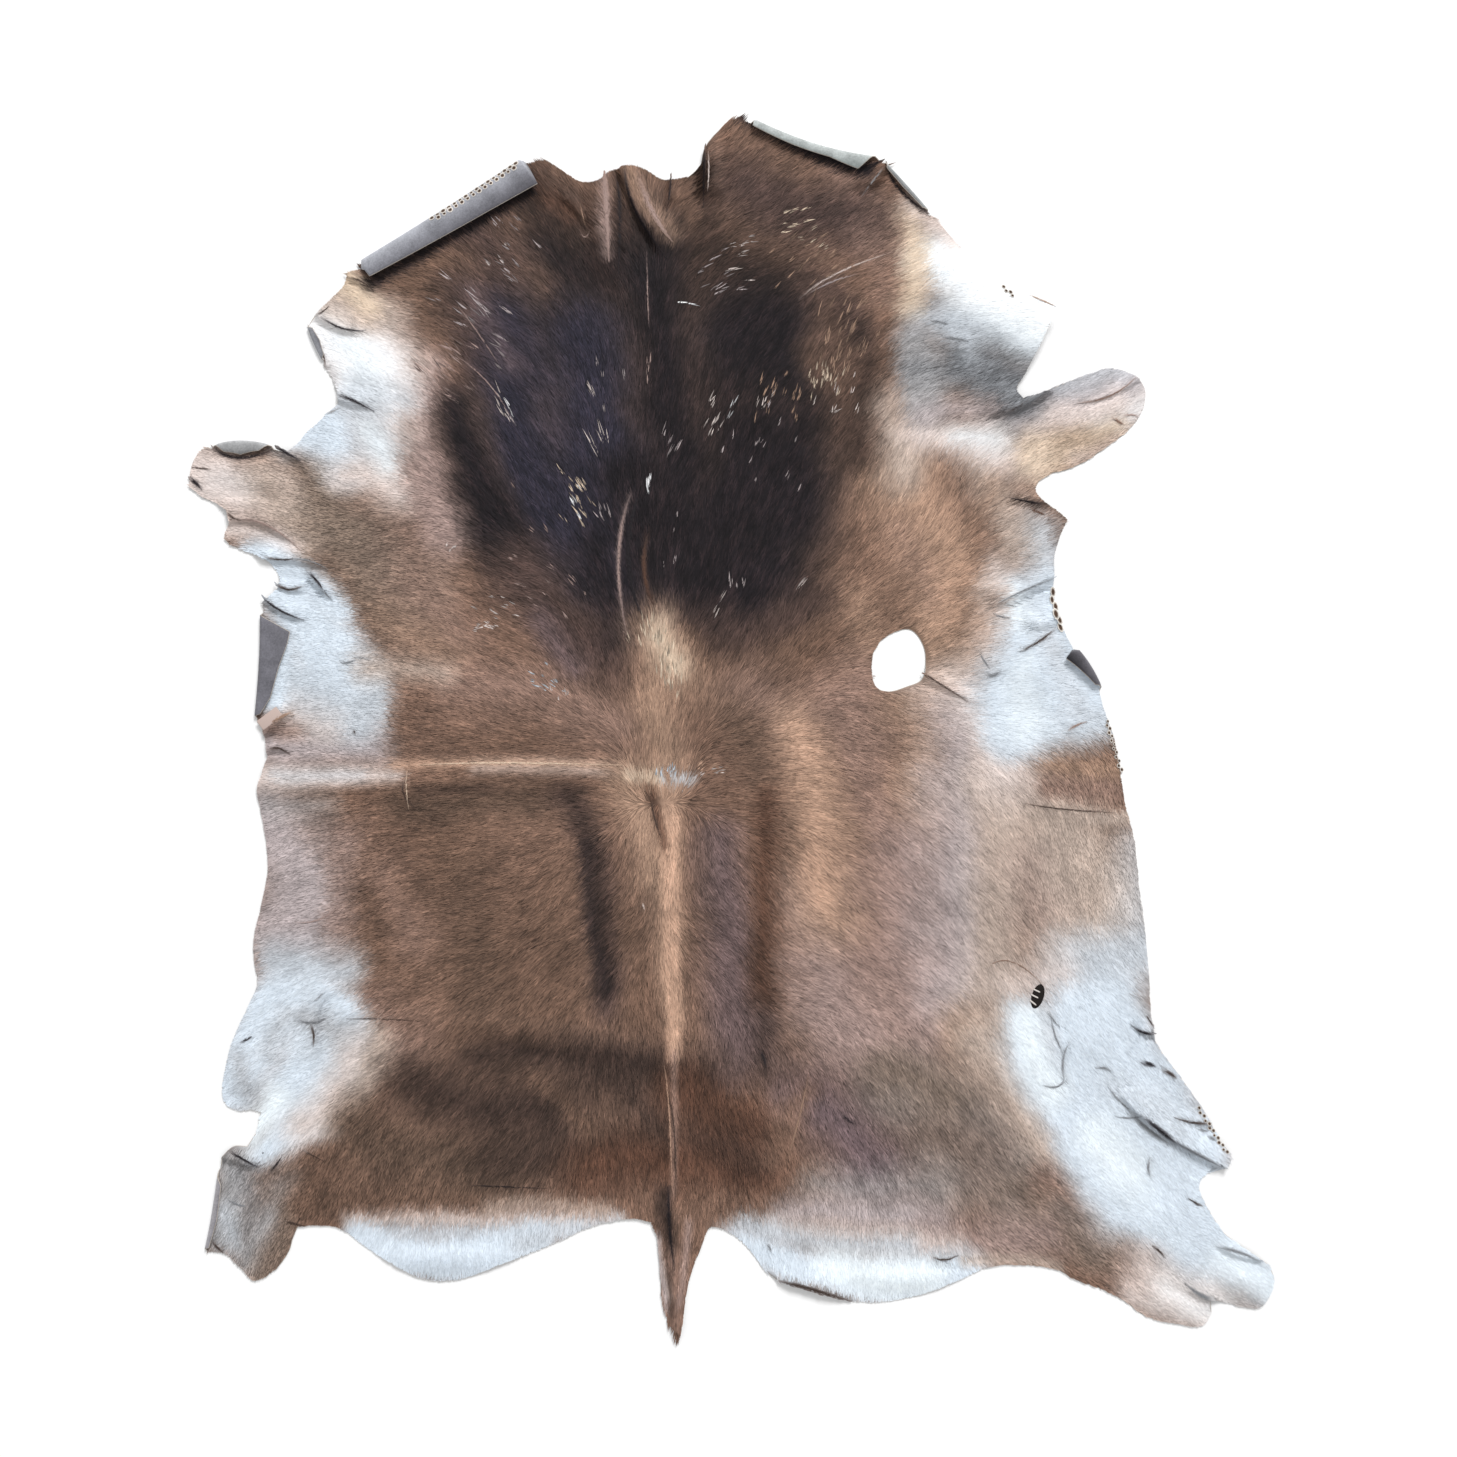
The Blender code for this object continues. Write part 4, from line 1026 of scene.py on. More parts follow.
    ("beige", (260, 560), (270, 500), (290, 440), 24, 34, 34),
    ("pearl", (320, 500), (400, 490), (480, 480), 34, 40, 34),
    ("beige", (470, 540), (510, 480), (520, 450), 30, 34, 34, 0.9),
    ("lilac", (500, 550), (590, 570), (680, 610), 44, 44, 26),
    ("ash", (560, 580), (620, 600), (690, 620), 24, 20, 26, 0.7),
    ("white", (620, 530), (670, 540), (720, 560), 20, 34, 30, 0.8),
    ("cream", (530, 470), (590, 490), (650, 520), 44, 24, 24, 0.7),
    ("pearl", (540, 530), (600, 540), (660, 560), 20, 16, 24, 0.9),
    ("pearl", (590, 458), (620, 466), (660, 486), 14, 14, 18, 0.5),
    ("snow", (390, 504), (420, 500), (450, 498), 14, 16, 34, 0.8),
    ("ash", (380, 700), (450, 674), (530, 650), 34, 40, 30),
    ("snow", (350, 810), (450, 740), (540, 690), 50, 70, 40),
    ("white", (360, 800), (450, 744), (540, 700), 40, 50, 40, 0.6),
    # Painted shade, partly the hair's own grey: slate and grey on the slope south of the shoulder
    # ridge, which faces away from the light.
    ("slate", (380, 630), (430, 610), (490, 570), 40, 50, 34),
    ("grey", (310, 660), (320, 620), (330, 560), 34, 40, 26),
    ("slate", (300, 610), (330, 610), (370, 620), 12, 16, 30, 0.7),
    ("ash", (320, 710), (370, 690), (400, 660), 24, 24, 30, 0.9),
    ("lilac", (330, 540), (390, 550), (440, 540), 20, 16, 24, 0.8),
    ("cream", (290, 880), (310, 800), (300, 730), 24, 24, 24, 0.9),
    ("pearl", (300, 900), (340, 870), (380, 840), 14, 20, 26, 0.9),
    # Neck
    ("fawn", (0, 1030), (120, 985), (250, 930), 30, 30, 40, 0.9),
    ("hazel", (190, 940), (230, 900), (250, 840), 20, 24, 40, 0.8),
    ("cocoa", (0, 940), (80, 890), (210, 870), 34, 50, 44),
    ("hazel", (220, 850), (250, 800), (260, 740), 14, 16, 34, 0.7),
    ("seal", (-340, 920), (-300, 870), (-240, 800), 44, 70, 50),
    ("cocoa", (-440, 840), (-400, 800), (-400, 740), 30, 44, 50),
    ("umber", (-330, 920), (-300, 900), (-270, 880), 14, 16, 24, 0.7),
    ("seal", (-160, 860), (-60, 800), (60, 760), 60, 70, 60),
    ("black", (-320, 820), (-280, 780), (-200, 740), 24, 50, 44, 0.8),
    ("mauve", (-222, 960), (-216, 880), (-214, 810), 8, 8, 14, 0.9),
    ("tan", (-180, 960), (-150, 900), (-110, 840), 12, 16, 16, 0.8),
    ("fawn", (-90, 940), (-80, 910), (-70, 880), 14, 14, 20, 0.9),
    ("seal", (-50, 960), (-40, 880), (-30, 820), 16, 24, 30, 0.8),
    # Dark shoulder patch
    ("seal", (-460, 640), (-300, 700), (-160, 720), 10, 60, 50),
    ("cocoa", (-470, 740), (-460, 680), (-440, 620), 24, 24, 40),
    ("ink", (-380, 700), (-380, 560), (-300, 340), 34, 80, 50),
    ("ink", (-390, 700), (-350, 650), (-330, 600), 20, 34, 40, 0.7),
    ("ink", (-260, 660), (-230, 520), (-210, 300), 70, 90, 60),
    ("black", (-480, 560), (-450, 440), (-400, 330), 26, 50, 34),
    ("black", (40, 660), (60, 440), (0, 290), 100, 130, 60),
    ("seal", (190, 700), (220, 620), (210, 480), 24, 30, 40, 0.9),
    ("black", (-140, 780), (-110, 600), (-90, 300), 50, 60, 50),
    ("black", (-180, 420), (-150, 300), (-120, 230), 50, 50, 40, 0.9),
    ("seal", (0, 560), (60, 550), (150, 540), 20, 24, 60, 0.5),
    ("brown", (130, 660), (150, 620), (170, 590), 14, 16, 34, 0.7),
    ("cocoa", (130, 770), (180, 740), (220, 680), 14, 16, 40, 0.9),
    ("cocoa", (-370, 280), (-300, 200), (-230, 120), 44, 50, 50),
    ("black", (-240, 300), (-210, 220), (-190, 160), 30, 30, 40, 0.9),
    ("plum", (-320, 180), (-300, 140), (-280, 100), 14, 18, 34, 0.9),
    ("cocoa", (-20, 190), (40, 160), (140, 220), 30, 20, 40, 0.8),
    ("plum", (-440, 740), (-410, 690), (-380, 620), 14, 14, 30, 0.8),
    # Whorl above the spine
    ("tan", (-150, 180), (-120, 120), (-80, 80), 30, 40, 44, 0.9),
    ("cream", (-130, 170), (-120, 130), (-100, 100), 12, 24, 30, 0.9),
    ("tan", (-140, 50), (-130, 0), (-116, -60), 34, 34, 40),
    ("cream", (-174, -82), (-150, -84), (-126, -86), 9, 11, 12, 0.8),
    ("ash", (-118, -86), (-98, -88), (-72, -90), 8, 7, 10, 0.9),
    ("umber", (-138, -114), (-130, -150), (-116, -204), 8, 4, 9, 0.9),
    # Painted shadow: black in the hair under the free edges of the neck rolls
    ("black", (-620, 764), (-480, 842), (-350, 922), 8, 12, 14),
    ("black", (14, 1044), (110, 994), (226, 956), 6, 14, 12),
    # Pale hair of the left flank, out to its flap
    ("ice", (-790, 130), (-790, 90), (-790, 50), 34, 30, 16),
)]

# Lines in the coat: creases, darkened by painted shade together with grime and worn hair, painted
# shadow under lifted edges, scars, and ridges that are pale with painted highlight. Widths are those
# at the start and the end, and halo is how much the coat around takes on the colour.
Line = namedtuple("Line", "colour start via end width_start width_end halo")
LINES = [Line(*row) for row in (
    # Painted shadow under the rolled edges
    ("black", (-642, 793), (-624, 780), (-602, 770), 9, 10, 0.8),
    ("black", (222, 956), (240, 964), (258, 972), 7, 5, 0.8),
    ("black", (264, 966), (286, 924), (336, 882), 5, 8, 0.7),
    ("black", (-894, 481), (-850, 462), (-792, 476), 6, 7, 0.7),
    ("black", (-784, 481), (-766, 470), (-744, 458), 8, 3, 0.5),
    ("seal", (-730, 690), (-708, 652), (-700, 618), 4, 4, 0.4),
    # Neck
    ("black", (-184, 958), (-168, 886), (-114, 806), 7, 5, 0.8),
    ("black", (-200, 952), (-194, 880), (-196, 780), 10, 5, 0.7),
    ("black", (-106, 948), (-108, 918), (-113, 884), 5, 2, 0.5),
    ("black", (-47, 994), (-50, 950), (-50, 896), 6, 4, 0.7),
    ("pearl", (-42, 984), (-41, 950), (-43, 920), 3, 1, 0.2),
    ("mauve", (-220, 950), (-216, 880), (-212, 800), 12, 8, 0.5),
    ("mauve", (-160, 940), (-136, 880), (-106, 836), 16, 6, 0.5),
    ("mauve", (-148, 820), (-146, 740), (-144, 690), 3, 1, 0.3),
    ("mauve", (-262, 850), (-254, 842), (-246, 850), 4, 2, 0.3),
    ("slate", (258, 958), (244, 940), (222, 912), 4, 2, 0.4),
    ("tan", (-262, 900), (-256, 872), (-248, 852), 3, 2, 0.3),
    # Streaks of pale hair in the neck
    ("pearl", (116, 736), (178, 778), (272, 814), 5, 2, 0.2),
    ("lilac", (130, 744), (170, 764), (210, 776), 4, 2, 0.2),
    ("mauve", (-376, 520), (-420, 590), (-480, 640), 2, 3, 0.2),
    ("mauve", (-400, 620), (-440, 680), (-470, 720), 3, 2, 0.2),
    ("pearl", (-372, 518), (-382, 532), (-392, 548), 4, 2, 0.1),
    # Scar left of the spine, and painted shade in the dip beside it
    ("mauve", (-176, 398), (-196, 290), (-182, 160), 9, 6, 0.7),
    ("black", (-164, 392), (-180, 290), (-158, 196), 9, 6, 0.8),
    ("umber", (-146, 330), (-152, 270), (-138, 214), 10, 10, 0.6),
    # Left shoulder and foreleg
    ("seal", (-656, 769), (-638, 764), (-618, 750), 5, 2, 0.3),
    ("black", (-706, 703), (-668, 682), (-632, 680), 5, 2, 0.4),
    ("seal", (-712, 706), (-702, 712), (-692, 722), 4, 2, 0.3),
    ("black", (-674, 569), (-648, 558), (-618, 543), 8, 2, 0.6),
    ("grey", (-698, 538), (-688, 542), (-676, 548), 4, 2, 0.3),
    ("mauve", (-846, 352), (-800, 346), (-742, 304), 4, 3, 0.4),
    ("black", (-932, 427), (-924, 420), (-914, 410), 9, 6, 0.7),
    ("seal", (-928, 446), (-914, 444), (-898, 443), 3, 1, 0.3),
    ("seal", (-866, 368), (-856, 358), (-844, 354), 5, 2, 0.5),
    # Left flank
    ("seal", (-800, 291), (-776, 286), (-752, 288), 4, 2, 0.4),
    ("slate", (-752, 288), (-724, 284), (-698, 272), 3, 2, 0.4),
    ("black", (-729, 265), (-714, 251), (-702, 234), 6, 3, 0.5),
    ("slate", (-702, 234), (-696, 226), (-688, 218), 3, 1, 0.3),
    ("seal", (-784, 246), (-764, 236), (-742, 240), 7, 3, 0.7),
    ("black", (-806, 224), (-780, 202), (-738, 184), 5, 3, 0.6),
    ("slate", (-672, 112), (-662, 110), (-650, 114), 6, 3, 0.5),
    ("grey", (-650, 120), (-638, 119), (-626, 116), 5, 3, 0.3),
    ("seal", (-652, -6), (-650, -9), (-648, -13), 4, 4, 0.4),
    ("seal", (-796, -40), (-780, -37), (-762, -46), 6, 3, 0.5),
    ("tan", (-792, 8), (-776, 16), (-760, 24), 8, 6, 0.7),
    # Body
    ("cream", (-540, -66), (-400, -62), (-190, -66), 2, 3, 0.4),
    ("cream", (-558, -74), (-560, -104), (-556, -144), 2, 1, 0.1),
    ("seal", (-562, -92), (-564, -116), (-540, -144), 5, 3, 0.5),
    ("seal", (-360, -376), (-348, -370), (-332, -361), 3, 1, 0.2),
    ("seal", (-352, -385), (-340, -378), (-328, -374), 2, 1, 0.1),
    ("mauve", (-750, -336), (-708, -330), (-670, -302), 2, 4, 0.3),
    ("seal", (-660, -502), (-600, -502), (-520, -506), 1, 2, 0.2),
    ("black", (-450, -788), (-400, -790), (-322, -793), 2, 3, 0.3),
    ("pearl", (-154, -300), (-153, -306), (-151, -312), 4, 4, 0.3),
    ("peach", (-118, -580), (-109, -660), (-104, -800), 3, 2, 0.5),
    ("seal", (-112, -620), (-100, -700), (-98, -810), 3, 3, 0.4),
    ("seal", (-140, -120), (-134, -156), (-122, -190), 5, 2, 0.4),
    ("black", (48, -556), (52, -566), (57, -582), 6, 5, 0.5),
    ("black", (188, -667), (196, -674), (206, -681), 6, 4, 0.4),
    ("tan", (94, -742), (112, -680), (130, -600), 4, 3, 0.5),
    ("tan", (-118, -60), (-112, -82), (-108, -110), 16, 8, 0.7),
    # Left hind leg and flank
    ("slate", (-700, -452), (-708, -462), (-718, -470), 3, 2, 0.3),
    ("slate", (-748, -504), (-724, -508), (-700, -502), 5, 3, 0.6),
    ("seal", (-724, -510), (-719, -528), (-720, -546), 5, 3, 0.5),
    ("black", (-844, -542), (-836, -538), (-828, -533), 4, 5, 0.4),
    ("black", (-862, -729), (-842, -740), (-812, -757), 6, 3, 0.6),
    ("black", (-792, -763), (-782, -750), (-776, -741), 5, 2, 0.4),
    ("black", (-808, -731), (-806, -732), (-804, -733), 4, 4, 0.2),
    ("seal", (-736, -728), (-722, -736), (-704, -745), 5, 2, 0.4),
    ("slate", (-866, -812), (-850, -820), (-832, -822), 4, 2, 0.3),
    ("seal", (-893, -886), (-886, -894), (-876, -903), 5, 3, 0.5),
    ("seal", (-772, -848), (-756, -853), (-738, -857), 3, 6, 0.6),
    # Right shoulder and foreleg
    ("slate", (468, 541), (498, 552), (530, 571), 8, 5, 0.7),
    ("seal", (472, 541), (486, 546), (502, 556), 5, 3, 0.4),
    ("hazel", (592, 556), (644, 566), (690, 598), 3, 2, 0.3),
    ("fawn", (654, 530), (662, 524), (670, 520), 6, 4, 0.4),
    ("mauve", (672, 534), (684, 536), (696, 533), 4, 2, 0.3),
    ("black", (472, 395), (500, 387), (528, 383), 3, 6, 0.5),
    ("umber", (512, 377), (522, 370), (534, 365), 6, 4, 0.4),
    ("tan", (506, 737), (528, 727), (548, 718), 3, 2, 0.3),
    ("slate", (338, 695), (352, 692), (366, 689), 4, 2, 0.3),
    ("slate", (360, 668), (380, 664), (402, 660), 4, 4, 0.3),
    # Right flank
    ("slate", (552, 256), (500, 234), (456, 213), 4, 2, 0.5),
    ("slate", (448, 196), (458, 190), (472, 188), 4, 2, 0.4),
    ("seal", (553, 168), (526, 147), (496, 131), 6, 3, 0.5),
    ("slate", (490, 130), (506, 134), (522, 150), 3, 2, 0.4),
    ("slate", (434, 92), (446, 88), (458, 94), 8, 5, 0.6),
    ("slate", (424, 128), (432, 114), (441, 102), 4, 3, 0.4),
    ("seal", (328, 91), (352, 76), (404, 43), 5, 1, 0.4),
    ("seal", (656, -147), (566, -141), (506, -132), 3, 1, 0.4),
    ("hazel", (576, -7), (590, 2), (606, 8), 5, 2, 0.4),
    # Right hind flank and leg
    ("fawn", (440, -412), (480, -404), (530, -440), 2, 1, 0.2),
    ("slate", (540, -490), (550, -502), (562, -516), 3, 1, 0.3),
    ("slate", (548, -500), (554, -530), (568, -560), 2, 3, 0.3),
    ("slate", (580, -542), (568, -570), (570, -606), 3, 5, 0.5),
    ("slate", (572, -604), (558, -618), (536, -616), 5, 2, 0.5),
    ("slate", (624, -586), (636, -586), (648, -590), 5, 5, 0.4),
    ("black", (723, -526), (706, -525), (688, -515), 8, 4, 0.5),
    ("seal", (722, -516), (717, -506), (712, -498), 5, 2, 0.4),
    ("black", (704, -578), (714, -579), (724, -583), 8, 8, 0.4),
    ("seal", (740, -590), (750, -595), (760, -602), 8, 6, 0.5),
    ("slate", (646, -618), (664, -642), (690, -664), 2, 4, 0.4),
    ("slate", (658, -669), (680, -672), (702, -668), 2, 3, 0.3),
    ("black", (703, -667), (730, -690), (760, -714), 7, 11, 0.4),
    ("slate", (686, -666), (714, -692), (746, -714), 10, 9, 0.5),
    ("slate", (758, -713), (796, -732), (836, -753), 8, 6, 0.7),
    ("seal", (818, -680), (790, -679), (760, -671), 7, 2, 0.5),
    ("slate", (798, -690), (806, -692), (814, -694), 5, 4, 0.4),
    ("slate", (816, -703), (822, -706), (828, -709), 6, 4, 0.5),
    ("slate", (718, -742), (714, -754), (716, -768), 4, 7, 0.5),
    ("seal", (806, -823), (795, -818), (784, -811), 6, 2, 0.4),
    ("seal", (721, -891), (730, -898), (739, -907), 5, 4, 0.3),
    ("slate", (834, -893), (866, -900), (902, -915), 7, 3, 0.6),
    ("slate", (824, -982), (802, -974), (778, -956), 11, 4, 0.7),
    # Rump edge and tail
    ("seal", (344, -910), (364, -914), (386, -908), 4, 2, 0.4),
    ("slate", (59, -889), (63, -894), (66, -901), 4, 4, 0.3),
    ("seal", (80, -951), (130, -962), (202, -986), 6, 9, 0.7),
    ("black", (-110, -788), (-109, -850), (-100, -930), 9, 5, 0.7),
)]
LINE_HALO = 0.5
LINE_HALO_SHARE = 0.5
LINE_SOFT = 5.0

# How far the borders of the patches wander
Wander = namedtuple("Wander", "name scale size seeds")
WANDERS = [Wander(*row) for row in (
    ("wide", 80, 18, (21, 22)),
    ("close", 25, 7, (23, 24)),
)]
WANDER_SOFT = 60.0

# Which way the hair lies, from root to tip, in degrees from the X axis, and how long it is
Flow = namedtuple("Flow", "x y heading length")
FLOWS = [Flow(*row) for row in (
    (-120, -60, 90, 24),
    (-120, 110, 92, 24),
    (-220, 150, 115, 20),
    (-20, 150, 60, 20),
    (-60, 480, 67, 20),
    (-150, 480, 88, 20),
    (-300, 450, 120, 20),
    (-450, 600, 137, 20),
    (-400, 800, 138, 20),
    (-560, 760, 165, 20),
    (-250, 850, 125, 23),
    (0, 850, 32, 23),
    (100, 650, 57, 20),
    (150, 850, 28, 23),
    (300, 800, 20, 23),
    (450, 720, 0, 20),
    (300, 400, 60, 20),
    (450, 600, 20, 20),
    (600, 530, 22, 13),
    (350, 200, 30, 20),
    (500, 150, 0, 20),
    (-600, 600, 160, 13),
    (-600, 300, 180, 13),
    (-820, 400, 172, 10),
    (-700, 100, 180, 13),
    (-400, 200, 160, 20),
    (0, -80, 0, 20),
    (-250, -80, 180, 20),
    (-110, -200, -90, 20),
    (-110, -600, -90, 20),
    (0, -300, -45, 20),
    (150, -420, -30, 20),
    (400, -200, -48, 20),
    (600, -220, -75, 13),
    (300, 0, -20, 20),
    (550, -450, -50, 20),
    (700, -700, -50, 13),
    (850, -950, -35, 10),
    (600, -900, -40, 13),
    (300, -680, -60, 20),
    (100, -700, -75, 20),
    (200, -930, -85, 13),
    (-250, -300, -140, 20),
    (-450, -250, -172, 20),
    (-700, -250, -165, 13),
    (-450, -650, -130, 20),
    (-700, -550, -150, 13),
    (-820, -850, -115, 10),
    (-600, -800, -110, 13),
    (-450, -900, -95, 13),
    (-110, -950, -90, 22),
)]
FLOW_BLUR = 45.0
FLOW_NOISE = 9.0
FLOW_NOISE_SCALE = 60.0
FLOW_NOISE_SEED = 31

# Uneven depth of colour. size is the share by which the colours grow lighter or darker.
Mottle = namedtuple("Mottle", "name scale size seed")
MOTTLES = [Mottle(*row) for row in (
    ("clouds", 60, 0.07, 45),
    ("dapples", 22, 0.07, 46),
    ("ticking", 9, 0.05, 47),
)]

# Locks: their number, sizes, lift off the skin, and how unevenly they lie. A single hair is too fine
# to show, so a lock is drawn about 2 mm wide. EDGE_OVERHANG is how far locks reach past the cut
# edge, and STEEPEST is how level the skin has to be to bear them, from 0 for upright to 1 for flat.
LOCK_PIECES = ("coat_rump", "coat_back", "coat_shoulders", "coat_neck")
LOCK_COUNT = 392000
LOCK_SEED = 41
LOCK_WIDTH = 2.1
LOCK_WIDTHS = (0.7, 1.25)
LOCK_WAIST = 0.38
LOCK_LIFT = 1.9
LOCK_LIFTS = (0.35, 1.2)
LOCK_RIDGE = 0.35
LOCK_ROOT_LIFT = 0.25
LOCK_JITTER = 9.0
LENGTH_SPREAD = 0.25
LEAST_LENGTH = 4.0
EDGE_OVERHANG = 1.6
EDGE_REACH = 30.0
LEAST_GAP = 0.01
LEAST_OUTWARD = 0.05
NO_LIMIT = 99.0
STEEPEST = 0.5

# Shades of the locks: streaks along the hair, darker roots and paler tips, all weaker in pale hair
STREAK_STEP = 12.0
STREAK_SHARES = (-1.0, -0.5, 0.0, 0.5, 1.0)
STREAK_SCALE = 4.5
STREAK_SEED = 43
STREAK_TONE = 0.3
LOCK_TONE = 0.11
ROOT_TONE = 0.86
TIP_TONE = 1.1
PALE_GAIN = 1.9
PALE_START = 0.72
PALE_CALM = 0.8
PALE_FLATNESS = 0.6
DARK_STREAK = (0.09, 0.06, 0.055)
DARK_STREAK_GAIN = 2.0
DARK_STREAK_SPREAD = 0.5
DARK_LIMIT = 0.35
COLOUR_JITTER = 3.5
UNDERCOAT_TONE = 0.8
UNDERCOAT_PALE_TONE = 0.97
BAKE_SPAN = 2200.0


def paint(colours, places, patch):
    """Lays one patch over the colours at the given places."""
    reach = max(patch.width_start, patch.width_end) + patch.soft
    near, along, aside = near_curve(patch, places, reach)
    width = patch.width_start + (patch.width_end - patch.width_start) * along
    cover = np.clip((width + patch.soft - np.abs(aside)) / (2.0 * patch.soft), 0.0, 1.0)
    cover = (eased(cover) * patch.strength)[:, None]
    colours[near] += cover * (hex_rgb(COAT_COLOURS[patch.colour]) - colours[near])


def coat_colours(places):
    """Screen colours of the coat at places on the hide."""
    colours = np.tile(hex_rgb(COAT_COLOURS[GROUND]), (len(places), 1))
    wander = np.zeros_like(places)
    for row in WANDERS:
        noise = [soft_noise(places, row.scale, seed) for seed in row.seeds]
        wander += row.size * np.stack(noise, axis=1)
    for patch in PATCHES:
        paint(colours, places + min(1.0, patch.soft / WANDER_SOFT) * wander, patch)
    for line in LINES:
        halo = Patch(line.colour, line.start, line.via, line.end, LINE_HALO * line.width_start,
                     LINE_HALO * line.width_end, LINE_SOFT, LINE_HALO_SHARE * line.halo)
        paint(colours, places, halo)
    return colours


def combed(places):
    """Directions in which the hair lies and its lengths at places on the hide."""
    headings = np.radians([flow.heading for flow in FLOWS])
    vectors = np.stack((np.cos(headings), np.sin(headings)), axis=1)
    offsets = places[:, None] - np.array([(flow.x, flow.y) for flow in FLOWS])
    weights = 1.0 / ((offsets ** 2).sum(axis=2) + FLOW_BLUR ** 2) ** 2
    along = weights @ vectors
    lengths = weights @ np.array([float(flow.length) for flow in FLOWS]) / weights.sum(axis=1)
    turns = np.arctan2(along[:, 1], along[:, 0])
    turns += math.radians(FLOW_NOISE) * soft_noise(places, FLOW_NOISE_SCALE, FLOW_NOISE_SEED)
    return turns, lengths


def streaks(places, turns):
    """Light and dark streaks along the hair, from about -1 to 1."""
    step = STREAK_STEP * np.stack((np.cos(turns), np.sin(turns)), axis=1)
    rows = [soft_noise(places + share * step, STREAK_SCALE, STREAK_SEED) for share in STREAK_SHARES]
    return np.mean(rows, axis=0)


def paleness(colours):
    """How pale each colour is, from 0 to 1."""
    return np.clip(colours.mean(axis=1) * PALE_GAIN - PALE_START, 0.0, 1.0)


def toned(colours, tones, streak):
    """Colours made lighter or darker, the pale ones less so, with brown streaks in the black."""
    pale = paleness(colours)
    dark = np.clip(1.0 - colours.mean(axis=1) / DARK_LIMIT, 0.0, 1.0) * np.clip(streak, 0.0, 1.0)
    colours = colours * (1.0 + tones * (1.0 - PALE_CALM * pale))[:, None]
    return np.clip(colours + dark[:, None] * np.array(DARK_STREAK), 0.0, 1.0)


def colour_points(piece, colours):
    """Gives the points of a piece their coat colours."""
    data = np.ones((len(colours), 4), dtype=np.float32)
    data[:, :3] = linear(colours)
    layer = piece.data.color_attributes.new("coat", "FLOAT_COLOR", "POINT")
    layer.data.foreach_set("color", data.ravel())


def lay_locks(name, roots, turns, lengths, widths, lifts, colours):
    """One piece of many locks of hair, each a low roof of two triangles from root to tip."""
    run = np.stack((np.cos(turns), np.sin(turns)), axis=1)
    side = np.stack((-run[:, 1], run[:, 0]), axis=1) * (0.5 * widths)[:, None]
    waist = roots + run * (LOCK_WAIST * lengths)[:, None]
    tips = roots + run * lengths[:, None]
    places = np.stack((roots, waist - side, tips, waist + side), axis=1).reshape(-1, 2)
    calm = 1.0 - PALE_CALM * paleness(colours)
    rises = np.stack((LOCK_ROOT_LIFT + LOCK_RIDGE * calm, LOCK_WAIST * lifts,
                      lifts + LOCK_RIDGE * calm, LOCK_WAIST * lifts), axis=1)
    heights = hide_heights(places) + SKIN_THICKNESS + rises.ravel()
    points = (np.column_stack((places, heights)) - centre) * METRES_PER_MM
    first = 4 * np.arange(len(roots))[:, None]
    corners = (first + np.array((0, 1, 2, 0, 2, 3))).ravel()
    mesh = bpy.data.meshes.new(name)
    mesh.vertices.add(len(points))
    mesh.vertices.foreach_set("co", points.astype(np.float32).ravel())
    mesh.loops.add(len(corners))
    mesh.loops.foreach_set("vertex_index", corners.astype(np.int32))
    mesh.polygons.add(len(corners) // 3)
    mesh.polygons.foreach_set("loop_start", np.arange(0, len(corners), 3, dtype=np.int32))
    mesh.update(calc_edges=True)
    mesh.shade_smooth()
    flat_map = mesh.uv_layers.new(name="OFBake")
    spread = (places / BAKE_SPAN + 0.5)[corners].astype(np.float32)
    flat_map.data.foreach_set("uv", spread.ravel())
    piece = bpy.data.objects.new(name, mesh)
    bpy.context.scene.collection.objects.link(piece)
    shades = 1.0 + calm[:, None] * np.array((ROOT_TONE - 1.0, 0.0, TIP_TONE - 1.0, 0.0))
    colour_points(piece, np.clip((colours[:, None] * shades[:, :, None]).reshape(-1, 3), 0.0, 1.0))
    piece.data.materials.append(hair)
    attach(piece, "root")
    return piece


# The skin under the hair has the coat's colours, a little darker
grain = coat_colours(flat)
shade = UNDERCOAT_TONE + (UNDERCOAT_PALE_TONE - UNDERCOAT_TONE) * paleness(grain)
flesh = flesh_colours()
colour_points(hide, np.concatenate([shade[:, None] * grain, flesh] + [flesh[row] for row in rims]))

# Roots, spread evenly over the hair side but for rolled edges and steep places, from tail to neck
random = np.random.default_rng(LOCK_SEED)
corners_3d = hair_side[triangles]
slopes = np.cross(corners_3d[:, 1] - corners_3d[:, 0], corners_3d[:, 2] - corners_3d[:, 0])
areas = 0.5 * np.linalg.norm(slopes, axis=1)
areas[0.5 * slopes[:, 2] < STEEPEST * areas] = 0.0
areas[(fold_of[triangles] != NO_FOLD).all(axis=1)] = 0.0
shelves = np.cumsum(areas)
draws = (np.arange(LOCK_COUNT) + random.random(LOCK_COUNT)) / LOCK_COUNT * shelves[-1]
chosen = np.minimum(np.searchsorted(shelves, draws), len(triangles) - 1)
first_share = np.sqrt(random.random(LOCK_COUNT))[:, None]
second_share = random.random(LOCK_COUNT)[:, None]
spot = flat[triangles[chosen]]
roots = ((1.0 - first_share) * spot[:, 0] + first_share * (1.0 - second_share) * spot[:, 1]
         + first_share * second_share * spot[:, 2])
order = np.argsort(roots[:, 1])
roots = roots[order]

